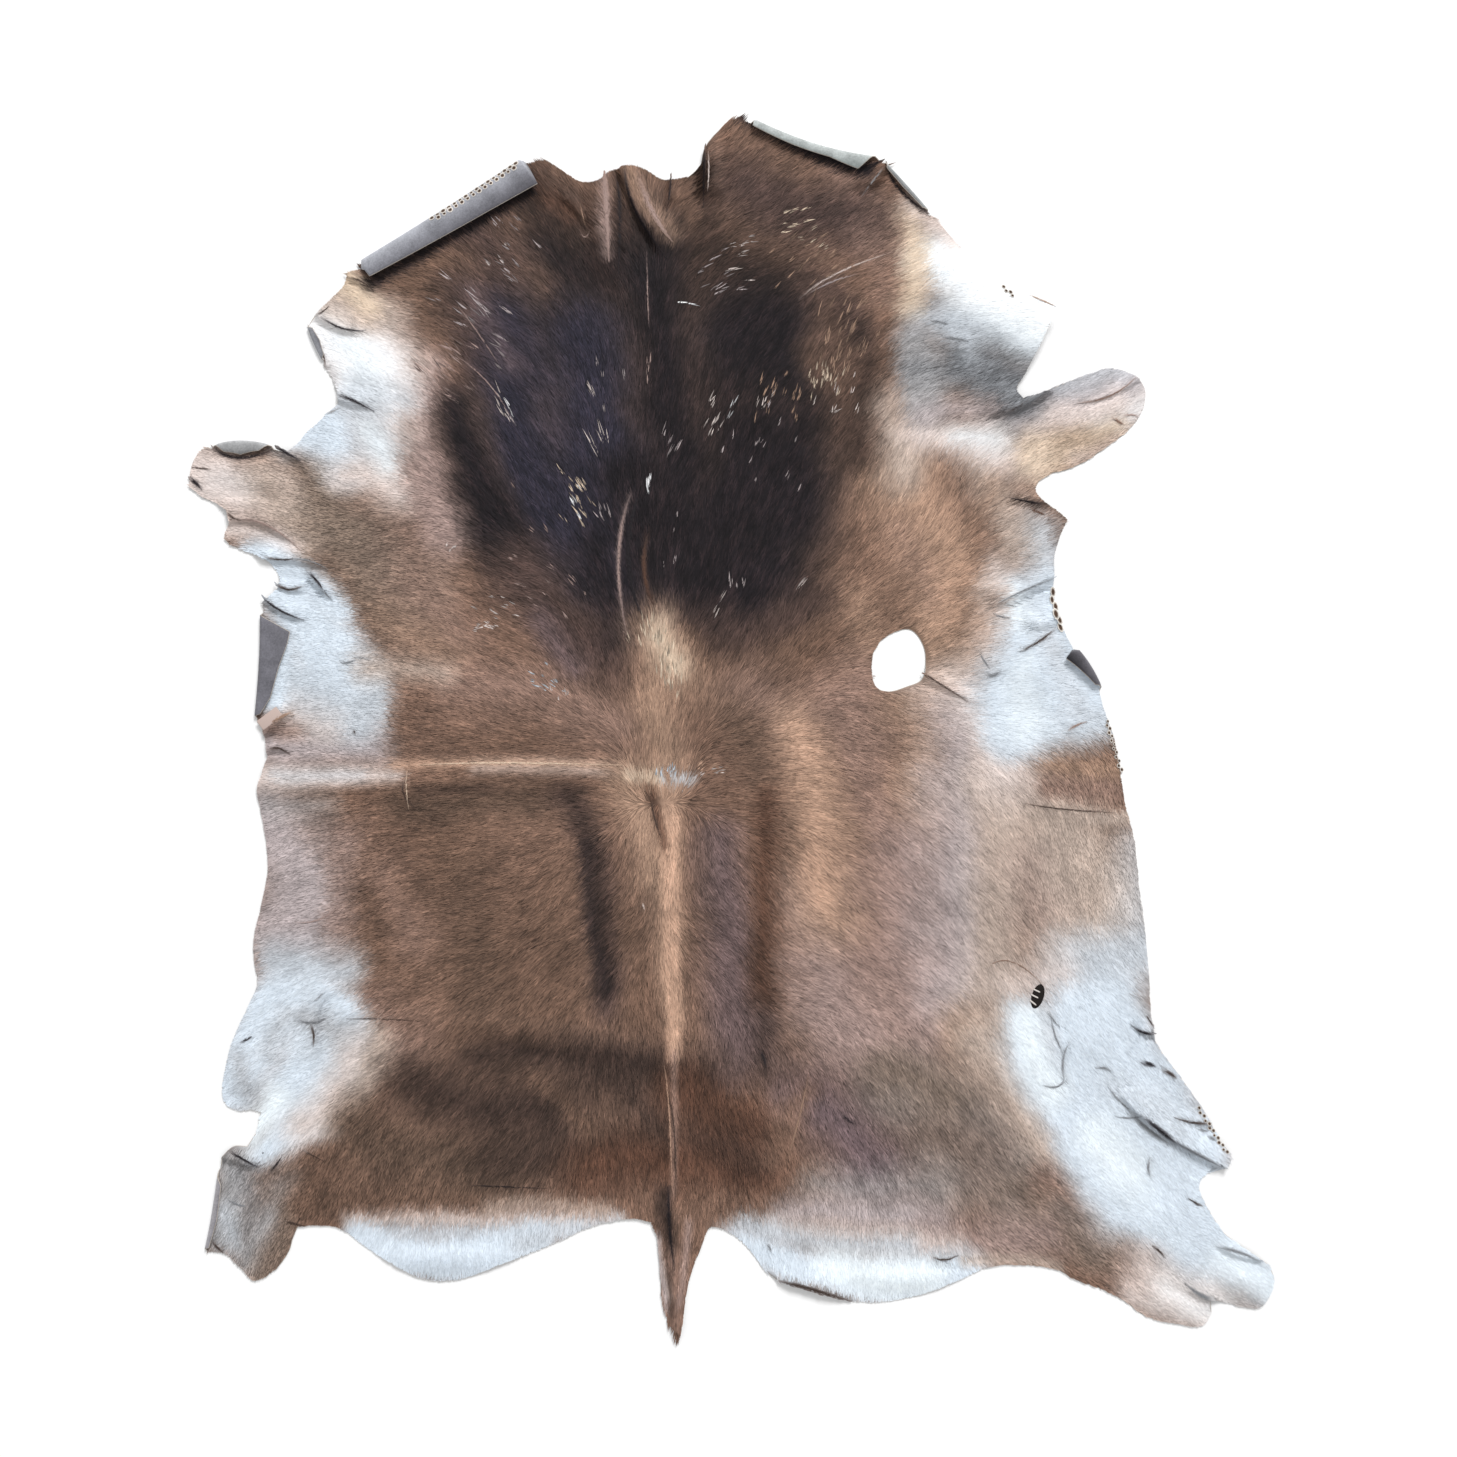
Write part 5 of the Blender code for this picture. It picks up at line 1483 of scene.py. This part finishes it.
# How each lock lies and how long it is: at the cut edge it is short enough to stay on the hide
point_gaps = np.linalg.norm(gap_to_edge((lying_edge, hole_loop), flat), axis=1)
near = point_gaps[triangles[chosen[order]]].min(axis=1) < EDGE_REACH
turns, lengths = combed(roots)
streak = streaks(roots, turns)
tones = STREAK_TONE * streak + LOCK_TONE * random.normal(size=LOCK_COUNT)
for mottle in MOTTLES:
    tones += mottle.size * soft_noise(roots, mottle.scale, mottle.seed)
streak = DARK_STREAK_GAIN * streak + DARK_STREAK_SPREAD * random.normal(size=LOCK_COUNT)
turns += math.radians(LOCK_JITTER) * random.normal(size=LOCK_COUNT)
lengths *= 1.0 + LENGTH_SPREAD * random.uniform(-1.0, 1.0, LOCK_COUNT)
gaps = np.full((LOCK_COUNT, 2), EDGE_REACH)
gaps[near] = gap_to_edge((lying_edge, hole_loop), roots[near])
gap_sizes = np.linalg.norm(gaps, axis=1)
run = np.stack((np.cos(turns), np.sin(turns)), axis=1)
outward = (run[:, 0] * gaps[:, 0] + run[:, 1] * gaps[:, 1]) / np.maximum(gap_sizes, LEAST_GAP)
room = (gap_sizes + EDGE_OVERHANG) / np.maximum(outward, LEAST_OUTWARD)
allowed = np.where(near & (outward > LEAST_OUTWARD), room, NO_LIMIT)
lengths = np.maximum(np.minimum(lengths, allowed), np.minimum(LEAST_LENGTH, allowed))

# Each lock takes the coat's colour at about the middle of its length
jitter = COLOUR_JITTER * random.normal(size=LOCK_COUNT)
shifted = roots + (0.5 * lengths + jitter)[:, None] * run
colours = toned(coat_colours(shifted), tones, streak)
widths = LOCK_WIDTH * random.uniform(*LOCK_WIDTHS, LOCK_COUNT)
lifts = LOCK_LIFT * random.uniform(*LOCK_LIFTS, LOCK_COUNT) * (1.0 - PALE_FLATNESS * paleness(colours))
for i, name in enumerate(LOCK_PIECES):
    part = slice(i * LOCK_COUNT // len(LOCK_PIECES), (i + 1) * LOCK_COUNT // len(LOCK_PIECES))
    lay_locks(name, roots[part], turns[part], lengths[part], widths[part],
                          lifts[part], colours[part])


# White ticking: single white and tan hairs and small tufts of them, which grow here and there in
# the dark coat of the neck and shoulders. turn is in degrees from the lie of the hair around.
Ticking = namedtuple("Ticking", "colour x y width height count length turn")
TICKINGS = [Ticking(*row) for row in (
    # Left of the spine
    ("lilac", -370, 810, 60, 60, 12, 22, 0),
    ("pearl", -395, 800, 24, 24, 4, 16, 0),
    ("lilac", -430, 700, 60, 70, 18, 30, 0),
    ("mauve", -470, 610, 50, 60, 18, 30, 0),
    ("pearl", -386, 542, 18, 26, 4, 30, -10),
    ("white", -376, 530, 8, 12, 2, 26, -10),
    ("pearl", -234, 572, 10, 12, 3, 24, 10),
    ("lilac", -210, 580, 40, 30, 5, 20, 0),
    ("pearl", -228, 474, 22, 30, 4, 46, 14),
    ("cream", -262, 380, 28, 50, 15, 26, 8),
    ("white", -258, 372, 20, 40, 5, 20, 8),
    ("lilac", -214, 352, 16, 26, 4, 24, 0),
    ("pearl", -400, 190, 40, 40, 14, 14, 0),
    ("pearl", -426, 172, 22, 14, 5, 12, 40),
    ("ash", -316, 74, 34, 26, 14, 13, 20),
    ("pearl", -300, 50, 24, 24, 5, 12, -40),
    ("pearl", -485, 310, 12, 14, 4, 9, 60),
    ("mauve", -320, 250, 90, 90, 16, 18, 0),
    # Along the spine and right of it
    ("white", -92, 729, 14, 3, 2, 24, -68),
    ("lilac", -30, 770, 40, 50, 10, 26, -20),
    ("pearl", -30, 800, 40, 40, 4, 26, -20),
    ("pearl", -40, 520, 26, 50, 7, 24, -14),
    ("white", -2, 530, 12, 16, 2, 26, -6),
    ("pearl", 46, 556, 26, 20, 4, 20, 4),
    ("lilac", -118, 470, 14, 40, 4, 26, -16),
    ("white", -144, 404, 10, 16, 4, 26, 2),
    ("mauve", -146, 610, 6, 30, 4, 22, 0),
    ("pearl", 4, 818, 30, 22, 6, 17, -20),
    ("cream", 96, 872, 36, 30, 10, 20, -16),
    ("cream", 140, 838, 24, 24, 4, 18, 0),
    ("tan", 120, 800, 60, 50, 18, 24, 10),
    ("tan", 190, 660, 60, 70, 40, 26, 26),
    ("cream", 160, 596, 34, 44, 20, 20, 22),
    ("pearl", 190, 566, 30, 34, 7, 20, 22),
    ("pearl", 168, 536, 16, 4, 2, 16, -30),
    ("tan", 90, 560, 60, 40, 18, 22, 14),
    ("pearl", 112, 238, 10, 8, 2, 24, 0),
    ("lilac", 0, 250, 20, 30, 4, 22, 20),
    ("pearl", -30, 190, 18, 20, 3, 24, 0),
    ("lilac", 60, 470, 90, 90, 12, 16, 0),
    ("lilac", -100, 320, 30, 60, 5, 12, 0),
    ("cream", -132, 148, 30, 26, 18, 26, 0),
    ("cream", -112, 92, 26, 40, 27, 24, 0),
    ("ice", -108, -82, 14, 8, 14, 12, 0),
    ("pearl", -24, -78, 40, 8, 6, 14, 0),
    ("peach", -60, -70, 30, 8, 9, 14, 0),
)]
TICKING_SEED = 51
TICKING_WIDTH = 2.7
TICKING_LIFT = 2.5
TICKING_SPREAD = 0.5
TICKING_TURN = 0.1
TICKING_LENGTHS = (0.6, 1.25)
TICKING_SHADES = (0.6, 1.02)
TUFT = 2
TUFT_SPREAD = 1.4
MARK_WIDTHS = (0.7, 1.2)
MARK_LIFTS = (0.85, 1.15)


def tick_locks():
    """Roots, turns, lengths and colours of the ticked hair."""
    draw = np.random.default_rng(TICKING_SEED)
    parts = []
    for row in TICKINGS:
        tufts = draw.normal(0.0, TICKING_SPREAD, (row.count, 2)) * (row.width, row.height)
        roots = np.repeat(tufts + (row.x, row.y), TUFT, axis=0)
        roots += TUFT_SPREAD * draw.normal(size=(TUFT * row.count, 2))
        turns = combed(roots)[0] + math.radians(row.turn)
        turns += TICKING_TURN * draw.normal(size=len(roots))
        lengths = row.length * draw.uniform(*TICKING_LENGTHS, len(roots))
        shades = hex_rgb(COAT_COLOURS[row.colour]) * draw.uniform(*TICKING_SHADES, (len(roots), 1))
        parts.append((roots, turns, lengths, np.clip(shades, 0.0, 1.0)))
    return [np.concatenate(column) for column in zip(*parts)]


def lay_marks(name, locks, width, lift, draw):
    """Adds one piece of fine locks that lie over the coat."""
    roots, turns, lengths, colours = locks
    widths = width * draw.uniform(*MARK_WIDTHS, len(roots))
    lifts = lift * draw.uniform(*MARK_LIFTS, len(roots))
    lay_locks(name, roots, turns, lengths, widths, lifts, colours)


mark_sizes = np.random.default_rng(TICKING_SEED)
lay_marks("white_ticking", tick_locks(), TICKING_WIDTH, TICKING_LIFT, mark_sizes)


# Crease lines: short hair along the scars and creases, dark with painted shade and grime in a crease
# and pale with painted highlight on a ridge. It lies along its line, densest and strongest in colour
# on the middle, and tapers off at both ends.
LINE_SEED = 53
LINE_STROKE = 12.0
LINE_STROKES = (0.6, 1.1)
LINE_STROKE_WIDTH = 1.8
LEAST_STROKES = 3
LINE_COVER = 4.0
LINE_LIFT = 2.3
LINE_TURN = 0.08
LINE_TAPER = 0.3
LEAST_TAPER = 0.1
TAPER_POWER = 0.6
LINE_CROWDING = 0.42
LINE_REACH = 0.6
LINE_SIDE_FADE = 0.8


def line_locks():
    """Roots, turns, lengths and colours of the short hair along each line."""
    draw = np.random.default_rng(LINE_SEED)
    parts = []
    for row in LINES:
        length = curve_length(row)
        area = 0.5 * length * (row.width_start + row.width_end)
        stroke_area = 0.5 * LINE_STROKE * LINE_STROKE_WIDTH
        count = max(LEAST_STROKES, int(LINE_COVER * area / stroke_area))
        shares = np.sort(draw.random(count))
        from_end = np.minimum(shares, 1.0 - shares)
        taper = np.clip(from_end / LINE_TAPER, LEAST_TAPER, 1.0) ** TAPER_POWER
        widths = taper * (row.width_start + (row.width_end - row.width_start) * shares)
        side = curve_normals(row, shares)
        offset = np.clip(LINE_CROWDING * draw.normal(size=count), -1.0, 1.0)
        roots = curve_points(row, shares) + side * (LINE_REACH * offset * widths)[:, None]
        turns = np.arctan2(-side[:, 0], side[:, 1]) + LINE_TURN * draw.normal(size=count)
        lengths = np.minimum(LINE_STROKE * draw.uniform(*LINE_STROKES, count), 0.5 * length)
        roots -= 0.5 * lengths[:, None] * np.stack((np.cos(turns), np.sin(turns)), axis=1)
        strength = (taper * (1.0 - LINE_SIDE_FADE * np.abs(offset)))[:, None]
        shades = np.tile(hex_rgb(COAT_COLOURS[row.colour]), (count, 1))
        parts.append((roots, turns, lengths, strength, shades))
    roots, turns, lengths, strength, shades = [np.concatenate(column) for column in zip(*parts)]
    around = coat_colours(roots)
    return roots, turns, lengths, around + strength * (shades - around)


lay_marks("crease_lines", line_locks(), LINE_STROKE_WIDTH, LINE_LIFT, mark_sizes)


# Toggle marks: clips held the wet hide stretched on a frame while it dried, and their teeth left
# rows of small brown dents with pale rims near the cut edge, on both sides of the skin.

# gap is the way from one dent to the next, size their scale, and stretch how many times longer they
# are along the edge than across it. turn is how far round the bend a row on a rolled edge lies.
Toggles = namedtuple("Toggles", "name start via end gap size stretch")
TOGGLES = [Toggles(*row) for row in (
    ("right shoulder", (458, 752), (470, 742), (480, 734), 7, 0.9, 1.4),
    ("right flank, upper", (548, 238), (554, 200), (567, 166), 11, 1.5, 2.1),
    ("right flank, lower", (642, 12), (654, -30), (668, -78), 7, 0.9, 1.3),
    ("right hind edge", (798, -652), (824, -694), (848, -732), 7, 1.0, 1.2),
)]
RollToggles = namedtuple("RollToggles", "fold share_start share_end turn gap size stretch")
ROLL_TOGGLES = [RollToggles(*row) for row in (
    ("neck left roll", 0.44, 0.95, 144, 10.5, 1.5, 1.1),
    ("neck left roll", 0.47, 0.93, 174, 10.5, 1.3, 1.1),
)]
TOGGLE_SEED = 57
DENT_CORNERS = 8
DENT_HEIGHT = 0.4
DENT_ZIGZAG = 1.6
DENT_SIZES = (0.75, 1.15)
DENT_COLOUR = "#4A382C"
HAIR_TOP = 2.4

# Rings of a dent, from its dark middle to its pale rim
Ring = namedtuple("Ring", "radius height colour")
RINGS = [Ring(*row) for row in (
    (1.6, DENT_HEIGHT, DENT_COLOUR),
    (3.3, 0.1, "#ECE6DE"),
)]


def toggle_rows():
    """For each row, the places of its dents, which ways they lie and face, size and stretch."""
    rows = []
    for row in TOGGLES:
        count = int(curve_length(row) / row.gap)
        shares = (np.arange(count) + 0.5) / count
        aside = DENT_ZIGZAG * np.where(np.arange(count) % 2 == 0, 1.0, -1.0)
        normals = curve_normals(row, shares)
        places = curve_points(row, shares) + normals * aside[:, None]
        places = np.column_stack((places, hide_heights(places) + SKIN_THICKNESS + HAIR_TOP))
        rows.append((places, normals, np.tile((0.0, 0.0, 1.0), (count, 1)), row.size, row.stretch))
    for row in ROLL_TOGGLES:
        fold = [fold for fold in FOLDS if fold.name == row.fold][0]
        count = int((row.share_end - row.share_start) * curve_length(fold) / row.gap)
        shares = np.linspace(row.share_start, row.share_end, count)
        turn = math.radians(row.turn)
        normals = curve_normals(fold, shares)
        facing = np.column_stack((normals * math.sin(turn), np.full(count, -math.cos(turn))))
        places = rolled_places(fold, shares, np.full(count, turn * fold.radius))
        places += facing * 0.5 * SKIN_THICKNESS + (0.0, 0.0, 0.5 * SKIN_THICKNESS)
        rows.append((places, normals, facing, row.size, row.stretch))
    return rows


def lay_dents():
    """One piece of all the dents, each a low cone with a dark middle and a pale rim."""
    draw = np.random.default_rng(TOGGLE_SEED)
    angles = 2.0 * math.pi * np.arange(DENT_CORNERS) / DENT_CORNERS
    points = []
    faces = []
    colours = []
    for places, normals, facing, size, stretch in toggle_rows():
        for place, normal, face in zip(places, normals, facing):
            along = np.array((normal[1], -normal[0], 0.0)) * stretch
            across = np.cross(face, along) / stretch
            first = len(points)
            scale = size * draw.uniform(*DENT_SIZES)
            points.append(place + face * DENT_HEIGHT)
            colours.append(hex_rgb(DENT_COLOUR))
            for ring in RINGS:
                for angle in angles:
                    way = along * math.cos(angle) + across * math.sin(angle)
                    points.append(place + face * ring.height + way * ring.radius * scale)
                    colours.append(hex_rgb(ring.colour))
            for i in range(DENT_CORNERS):
                j = (i + 1) % DENT_CORNERS
                inner = first + 1
                outer = first + 1 + DENT_CORNERS
                faces.append((first, inner + i, inner + j))
                faces.append((inner + i, outer + i, outer + j, inner + j))
    piece = new_piece("toggle_marks", np.array(points), faces)
    colour_points(piece, np.array(colours))
    piece.data.materials.append(suede)
    return piece


lay_dents()


# Mended cut: a slit that the skinning knife left in the right hind flank. Its edges stand a little
# apart, and the shade in the gap between them is painted as a dark low lens in the coat.
Slit = namedtuple("Slit", "x y width length turn")
SLIT = Slit(524, -463, 21, 43, -17)
SLIT_TOP = 2.6
SLIT_DEPTH = 1.6
SLIT_SEGMENTS = 28
SLIT_RINGS = 12
SLIT_GRAIN = 1.4286
SLIT_GRAIN_DEPTH = 0.6


def in_metres(x, y, height):
    """A place above the hide's underside, in the scene's metres."""
    ground = hide_heights(np.array(((float(x), float(y)),)))[0]
    return Vector((x - centre[0], y - centre[1], ground + SKIN_THICKNESS + height)) * METRES_PER_MM


def join_rug(piece, name, material):
    """Gives a piece made by an operator its name, its material and its place in the rug."""
    piece.name = name
    piece.data.materials.append(material)
    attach(piece, "root")


# Painted shadow on the raw leather in the slit's gap: dark, rough and matt, with fibres drawn coarse
# enough to show
slit_shadow = new_material("painted_slit_shadow")
slit_place = add_node(slit_shadow, "ShaderNodeTexCoord")
slit_grain = add_node(
    slit_shadow, "ShaderNodeTexNoise", (("Scale", pattern_scale(SLIT_GRAIN)), ("Detail", 3.0)),
    (("Vector", slit_place, "Object"),))
slit_bump = add_node(
    slit_shadow, "ShaderNodeBump", (("Strength", 0.5), ("Distance", SLIT_GRAIN_DEPTH * METRES_PER_MM)),
    (("Height", slit_grain, "Fac"),))
slit_shader = add_node(
    slit_shadow, "ShaderNodeBsdfPrincipled",
    (("Base Color", shader_colour("#1C1816")), ("Roughness", 0.85), ("Specular IOR Level", 0.2)),
    (("Normal", slit_bump, "Normal"),))
add_node(slit_shadow, "ShaderNodeOutputMaterial", (), (("Surface", slit_shader, "BSDF"),))
bpy.ops.object.select_all(action="DESELECT")
bpy.ops.mesh.primitive_uv_sphere_add(
    segments=SLIT_SEGMENTS, ring_count=SLIT_RINGS, radius=1.0,
    location=in_metres(SLIT.x, SLIT.y, SLIT_TOP - SLIT_DEPTH))
slit = bpy.context.object
slit.scale = Vector((0.5 * SLIT.width, 0.5 * SLIT.length, SLIT_DEPTH)) * METRES_PER_MM
slit.rotation_euler = (0.0, 0.0, math.radians(SLIT.turn))
bpy.ops.object.transform_apply(location=True, rotation=True, scale=True)
slit.data.shade_smooth()
join_rug(slit, "mended_cut", slit_shadow)


# Mending stitches: three loose stitches of waxed linen thread, sewn by hand to close the cut. Each
# comes up out of the skin beside it, lies over its edge and goes down inside it.
Stitch = namedtuple("Stitch", "start end")
STITCHES = [Stitch(*row) for row in (
    ((511, -470), (521, -478)),
    ((513, -460), (525, -466)),
    ((517, -451), (528, -456)),
)]
THREAD_RADIUS = 1.3
THREAD_RISE = 2.0
THREAD_SINK = 1.5
THREAD_LEAN = 0.3
THREAD_STEPS = 10
THREAD_ROUNDNESS = 3
THREAD_TWIST = 2.0
THREAD_TWIST_DEPTH = 0.3

# Linen thread, twisted and drawn through wax, which gives its pale strands a soft gloss
thread = new_material("waxed_linen_thread")
thread_place = add_node(thread, "ShaderNodeTexCoord")
thread_twist = add_node(
    thread, "ShaderNodeTexWave", (("Scale", pattern_scale(THREAD_TWIST)), ("Distortion", 1.5)),
    (("Vector", thread_place, "Object"),))
thread_bump = add_node(
    thread, "ShaderNodeBump", (("Strength", 0.6), ("Distance", THREAD_TWIST_DEPTH * METRES_PER_MM)),
    (("Height", thread_twist, "Fac"),))
thread_shader = add_node(
    thread, "ShaderNodeBsdfPrincipled",
    (("Base Color", shader_colour("#D9D2CC")), ("Roughness", 0.55)),
    (("Normal", thread_bump, "Normal"),))
add_node(thread, "ShaderNodeOutputMaterial", (), (("Surface", thread_shader, "BSDF"),))

for i, stitch in enumerate(STITCHES):
    bpy.ops.object.select_all(action="DESELECT")
    bpy.ops.curve.primitive_bezier_curve_add()
    cord = bpy.context.object
    cord.data.bevel_depth = THREAD_RADIUS * METRES_PER_MM
    cord.data.bevel_resolution = THREAD_ROUNDNESS
    cord.data.resolution_u = THREAD_STEPS
    cord.data.use_fill_caps = True
    first = in_metres(*stitch.start, SLIT_TOP - THREAD_SINK)
    last = in_metres(*stitch.end, SLIT_TOP - THREAD_SINK)
    lean = (last - first) * THREAD_LEAN
    rise = Vector((0.0, 0.0, THREAD_RISE * METRES_PER_MM))
    for knot, place, climb in zip(cord.data.splines[0].bezier_points, (first, last), (rise, -rise)):
        knot.co = place
        knot.handle_left_type = "FREE"
        knot.handle_right_type = "FREE"
        knot.handle_left = place - lean - climb
        knot.handle_right = place + lean + climb
    bpy.ops.object.convert(target="MESH")
    cord = bpy.context.object
    cord.data.shade_smooth()
    join_rug(cord, f"mending_stitch_{i + 1}", thread)


# Folded tab: a small tongue of the belly skin turned over at the lower end of the left flank flap,
# with its pale hair outside.
Tab = namedtuple("Tab", "x y length width thickness turn bevel")
TAB = Tab(-794, 14, 42, 20, 3.0, 37, 1.4)
TAB_BEVEL_SEGMENTS = 3
TAB_RISE = 2.2
TAB_COLOUR = "#BBA8A0"

bpy.ops.object.select_all(action="DESELECT")
bpy.ops.mesh.primitive_cube_add(size=1.0, location=in_metres(TAB.x, TAB.y, TAB_RISE))
tab = bpy.context.object
tab.scale = Vector((TAB.length, TAB.width, TAB.thickness)) * METRES_PER_MM
tab.rotation_euler = (0.0, 0.0, math.radians(TAB.turn))
bpy.ops.object.transform_apply(location=True, rotation=True, scale=True)
tab_edge = tab.modifiers.new("soft_edge", "BEVEL")
tab_edge.width = TAB.bevel * METRES_PER_MM
tab_edge.segments = TAB_BEVEL_SEGMENTS
bpy.ops.object.modifier_apply(modifier=tab_edge.name)
tab.data.shade_smooth()
colour_points(tab, np.tile(hex_rgb(TAB_COLOUR), (len(tab.data.vertices), 1)))
join_rug(tab, "folded_tab", hair)


# Studio: the rug lies on seamless white paper, in the light of one large softbox beyond its neck
# and of the white room around. The camera hangs over its middle and looks straight down. Sizes
# and places here are in metres, but for the paper's fibres in millimetres.
FLOOR_SIZE = 12.0
PAPER_FIBRE = 2.5
PAPER_RELIEF = 0.2
SOFTBOX_SIZE = 5.6
SOFTBOX_POWER = 2450.0
SOFTBOX_PLACE = (4.2, 11.9, 11.9)
ROOM_LIGHT = 0.66
CAMERA_PLACE = (-0.006, -0.001, 3.48)
LENS_MM = 50.0
SENSOR_MM = 36.0

bpy.ops.mesh.primitive_plane_add(size=FLOOR_SIZE, location=(0.0, 0.0, 0.0))
floor = bpy.context.object
floor.name = "floor"

# Uncoated white paper: matt, with fibres drawn coarser than real ones, which hardly show even so
paper = new_material("white_seamless_paper")
paper_place = add_node(paper, "ShaderNodeTexCoord")
paper_fibres = add_node(
    paper, "ShaderNodeTexNoise", (("Scale", pattern_scale(PAPER_FIBRE)), ("Detail", 2.0)),
    (("Vector", paper_place, "Object"),))
paper_bump = add_node(
    paper, "ShaderNodeBump", (("Strength", 0.1), ("Distance", PAPER_RELIEF * METRES_PER_MM)),
    (("Height", paper_fibres, "Fac"),))
paper_shader = add_node(
    paper, "ShaderNodeBsdfPrincipled",
    (("Base Color", shader_colour("#F6F6F6")), ("Roughness", 0.9), ("Specular IOR Level", 0.1)),
    (("Normal", paper_bump, "Normal"),))
add_node(paper, "ShaderNodeOutputMaterial", (), (("Surface", paper_shader, "BSDF"),))
floor.data.materials.append(paper)

softbox_data = bpy.data.lights.new("softbox", "AREA")
softbox_data.shape = "SQUARE"
softbox_data.size = SOFTBOX_SIZE
softbox_data.energy = SOFTBOX_POWER
softbox = bpy.data.objects.new("softbox", softbox_data)
bpy.context.scene.collection.objects.link(softbox)
softbox.location = SOFTBOX_PLACE
softbox.rotation_euler = (-softbox.location).to_track_quat("-Z", "Y").to_euler()
world = bpy.data.worlds.new("studio")
bpy.context.scene.world = world
world.use_nodes = True
world.node_tree.nodes["Background"].inputs["Color"].default_value = (1.0, 1.0, 1.0, 1.0)
world.node_tree.nodes["Background"].inputs["Strength"].default_value = ROOM_LIGHT
bpy.context.scene.view_settings.view_transform = "Standard"

camera_data = bpy.data.cameras.new("camera")
camera_data.lens = LENS_MM
camera_data.sensor_width = SENSOR_MM
camera = bpy.data.objects.new("camera", camera_data)
bpy.context.scene.collection.objects.link(camera)
camera.location = CAMERA_PLACE
bpy.context.scene.camera = camera
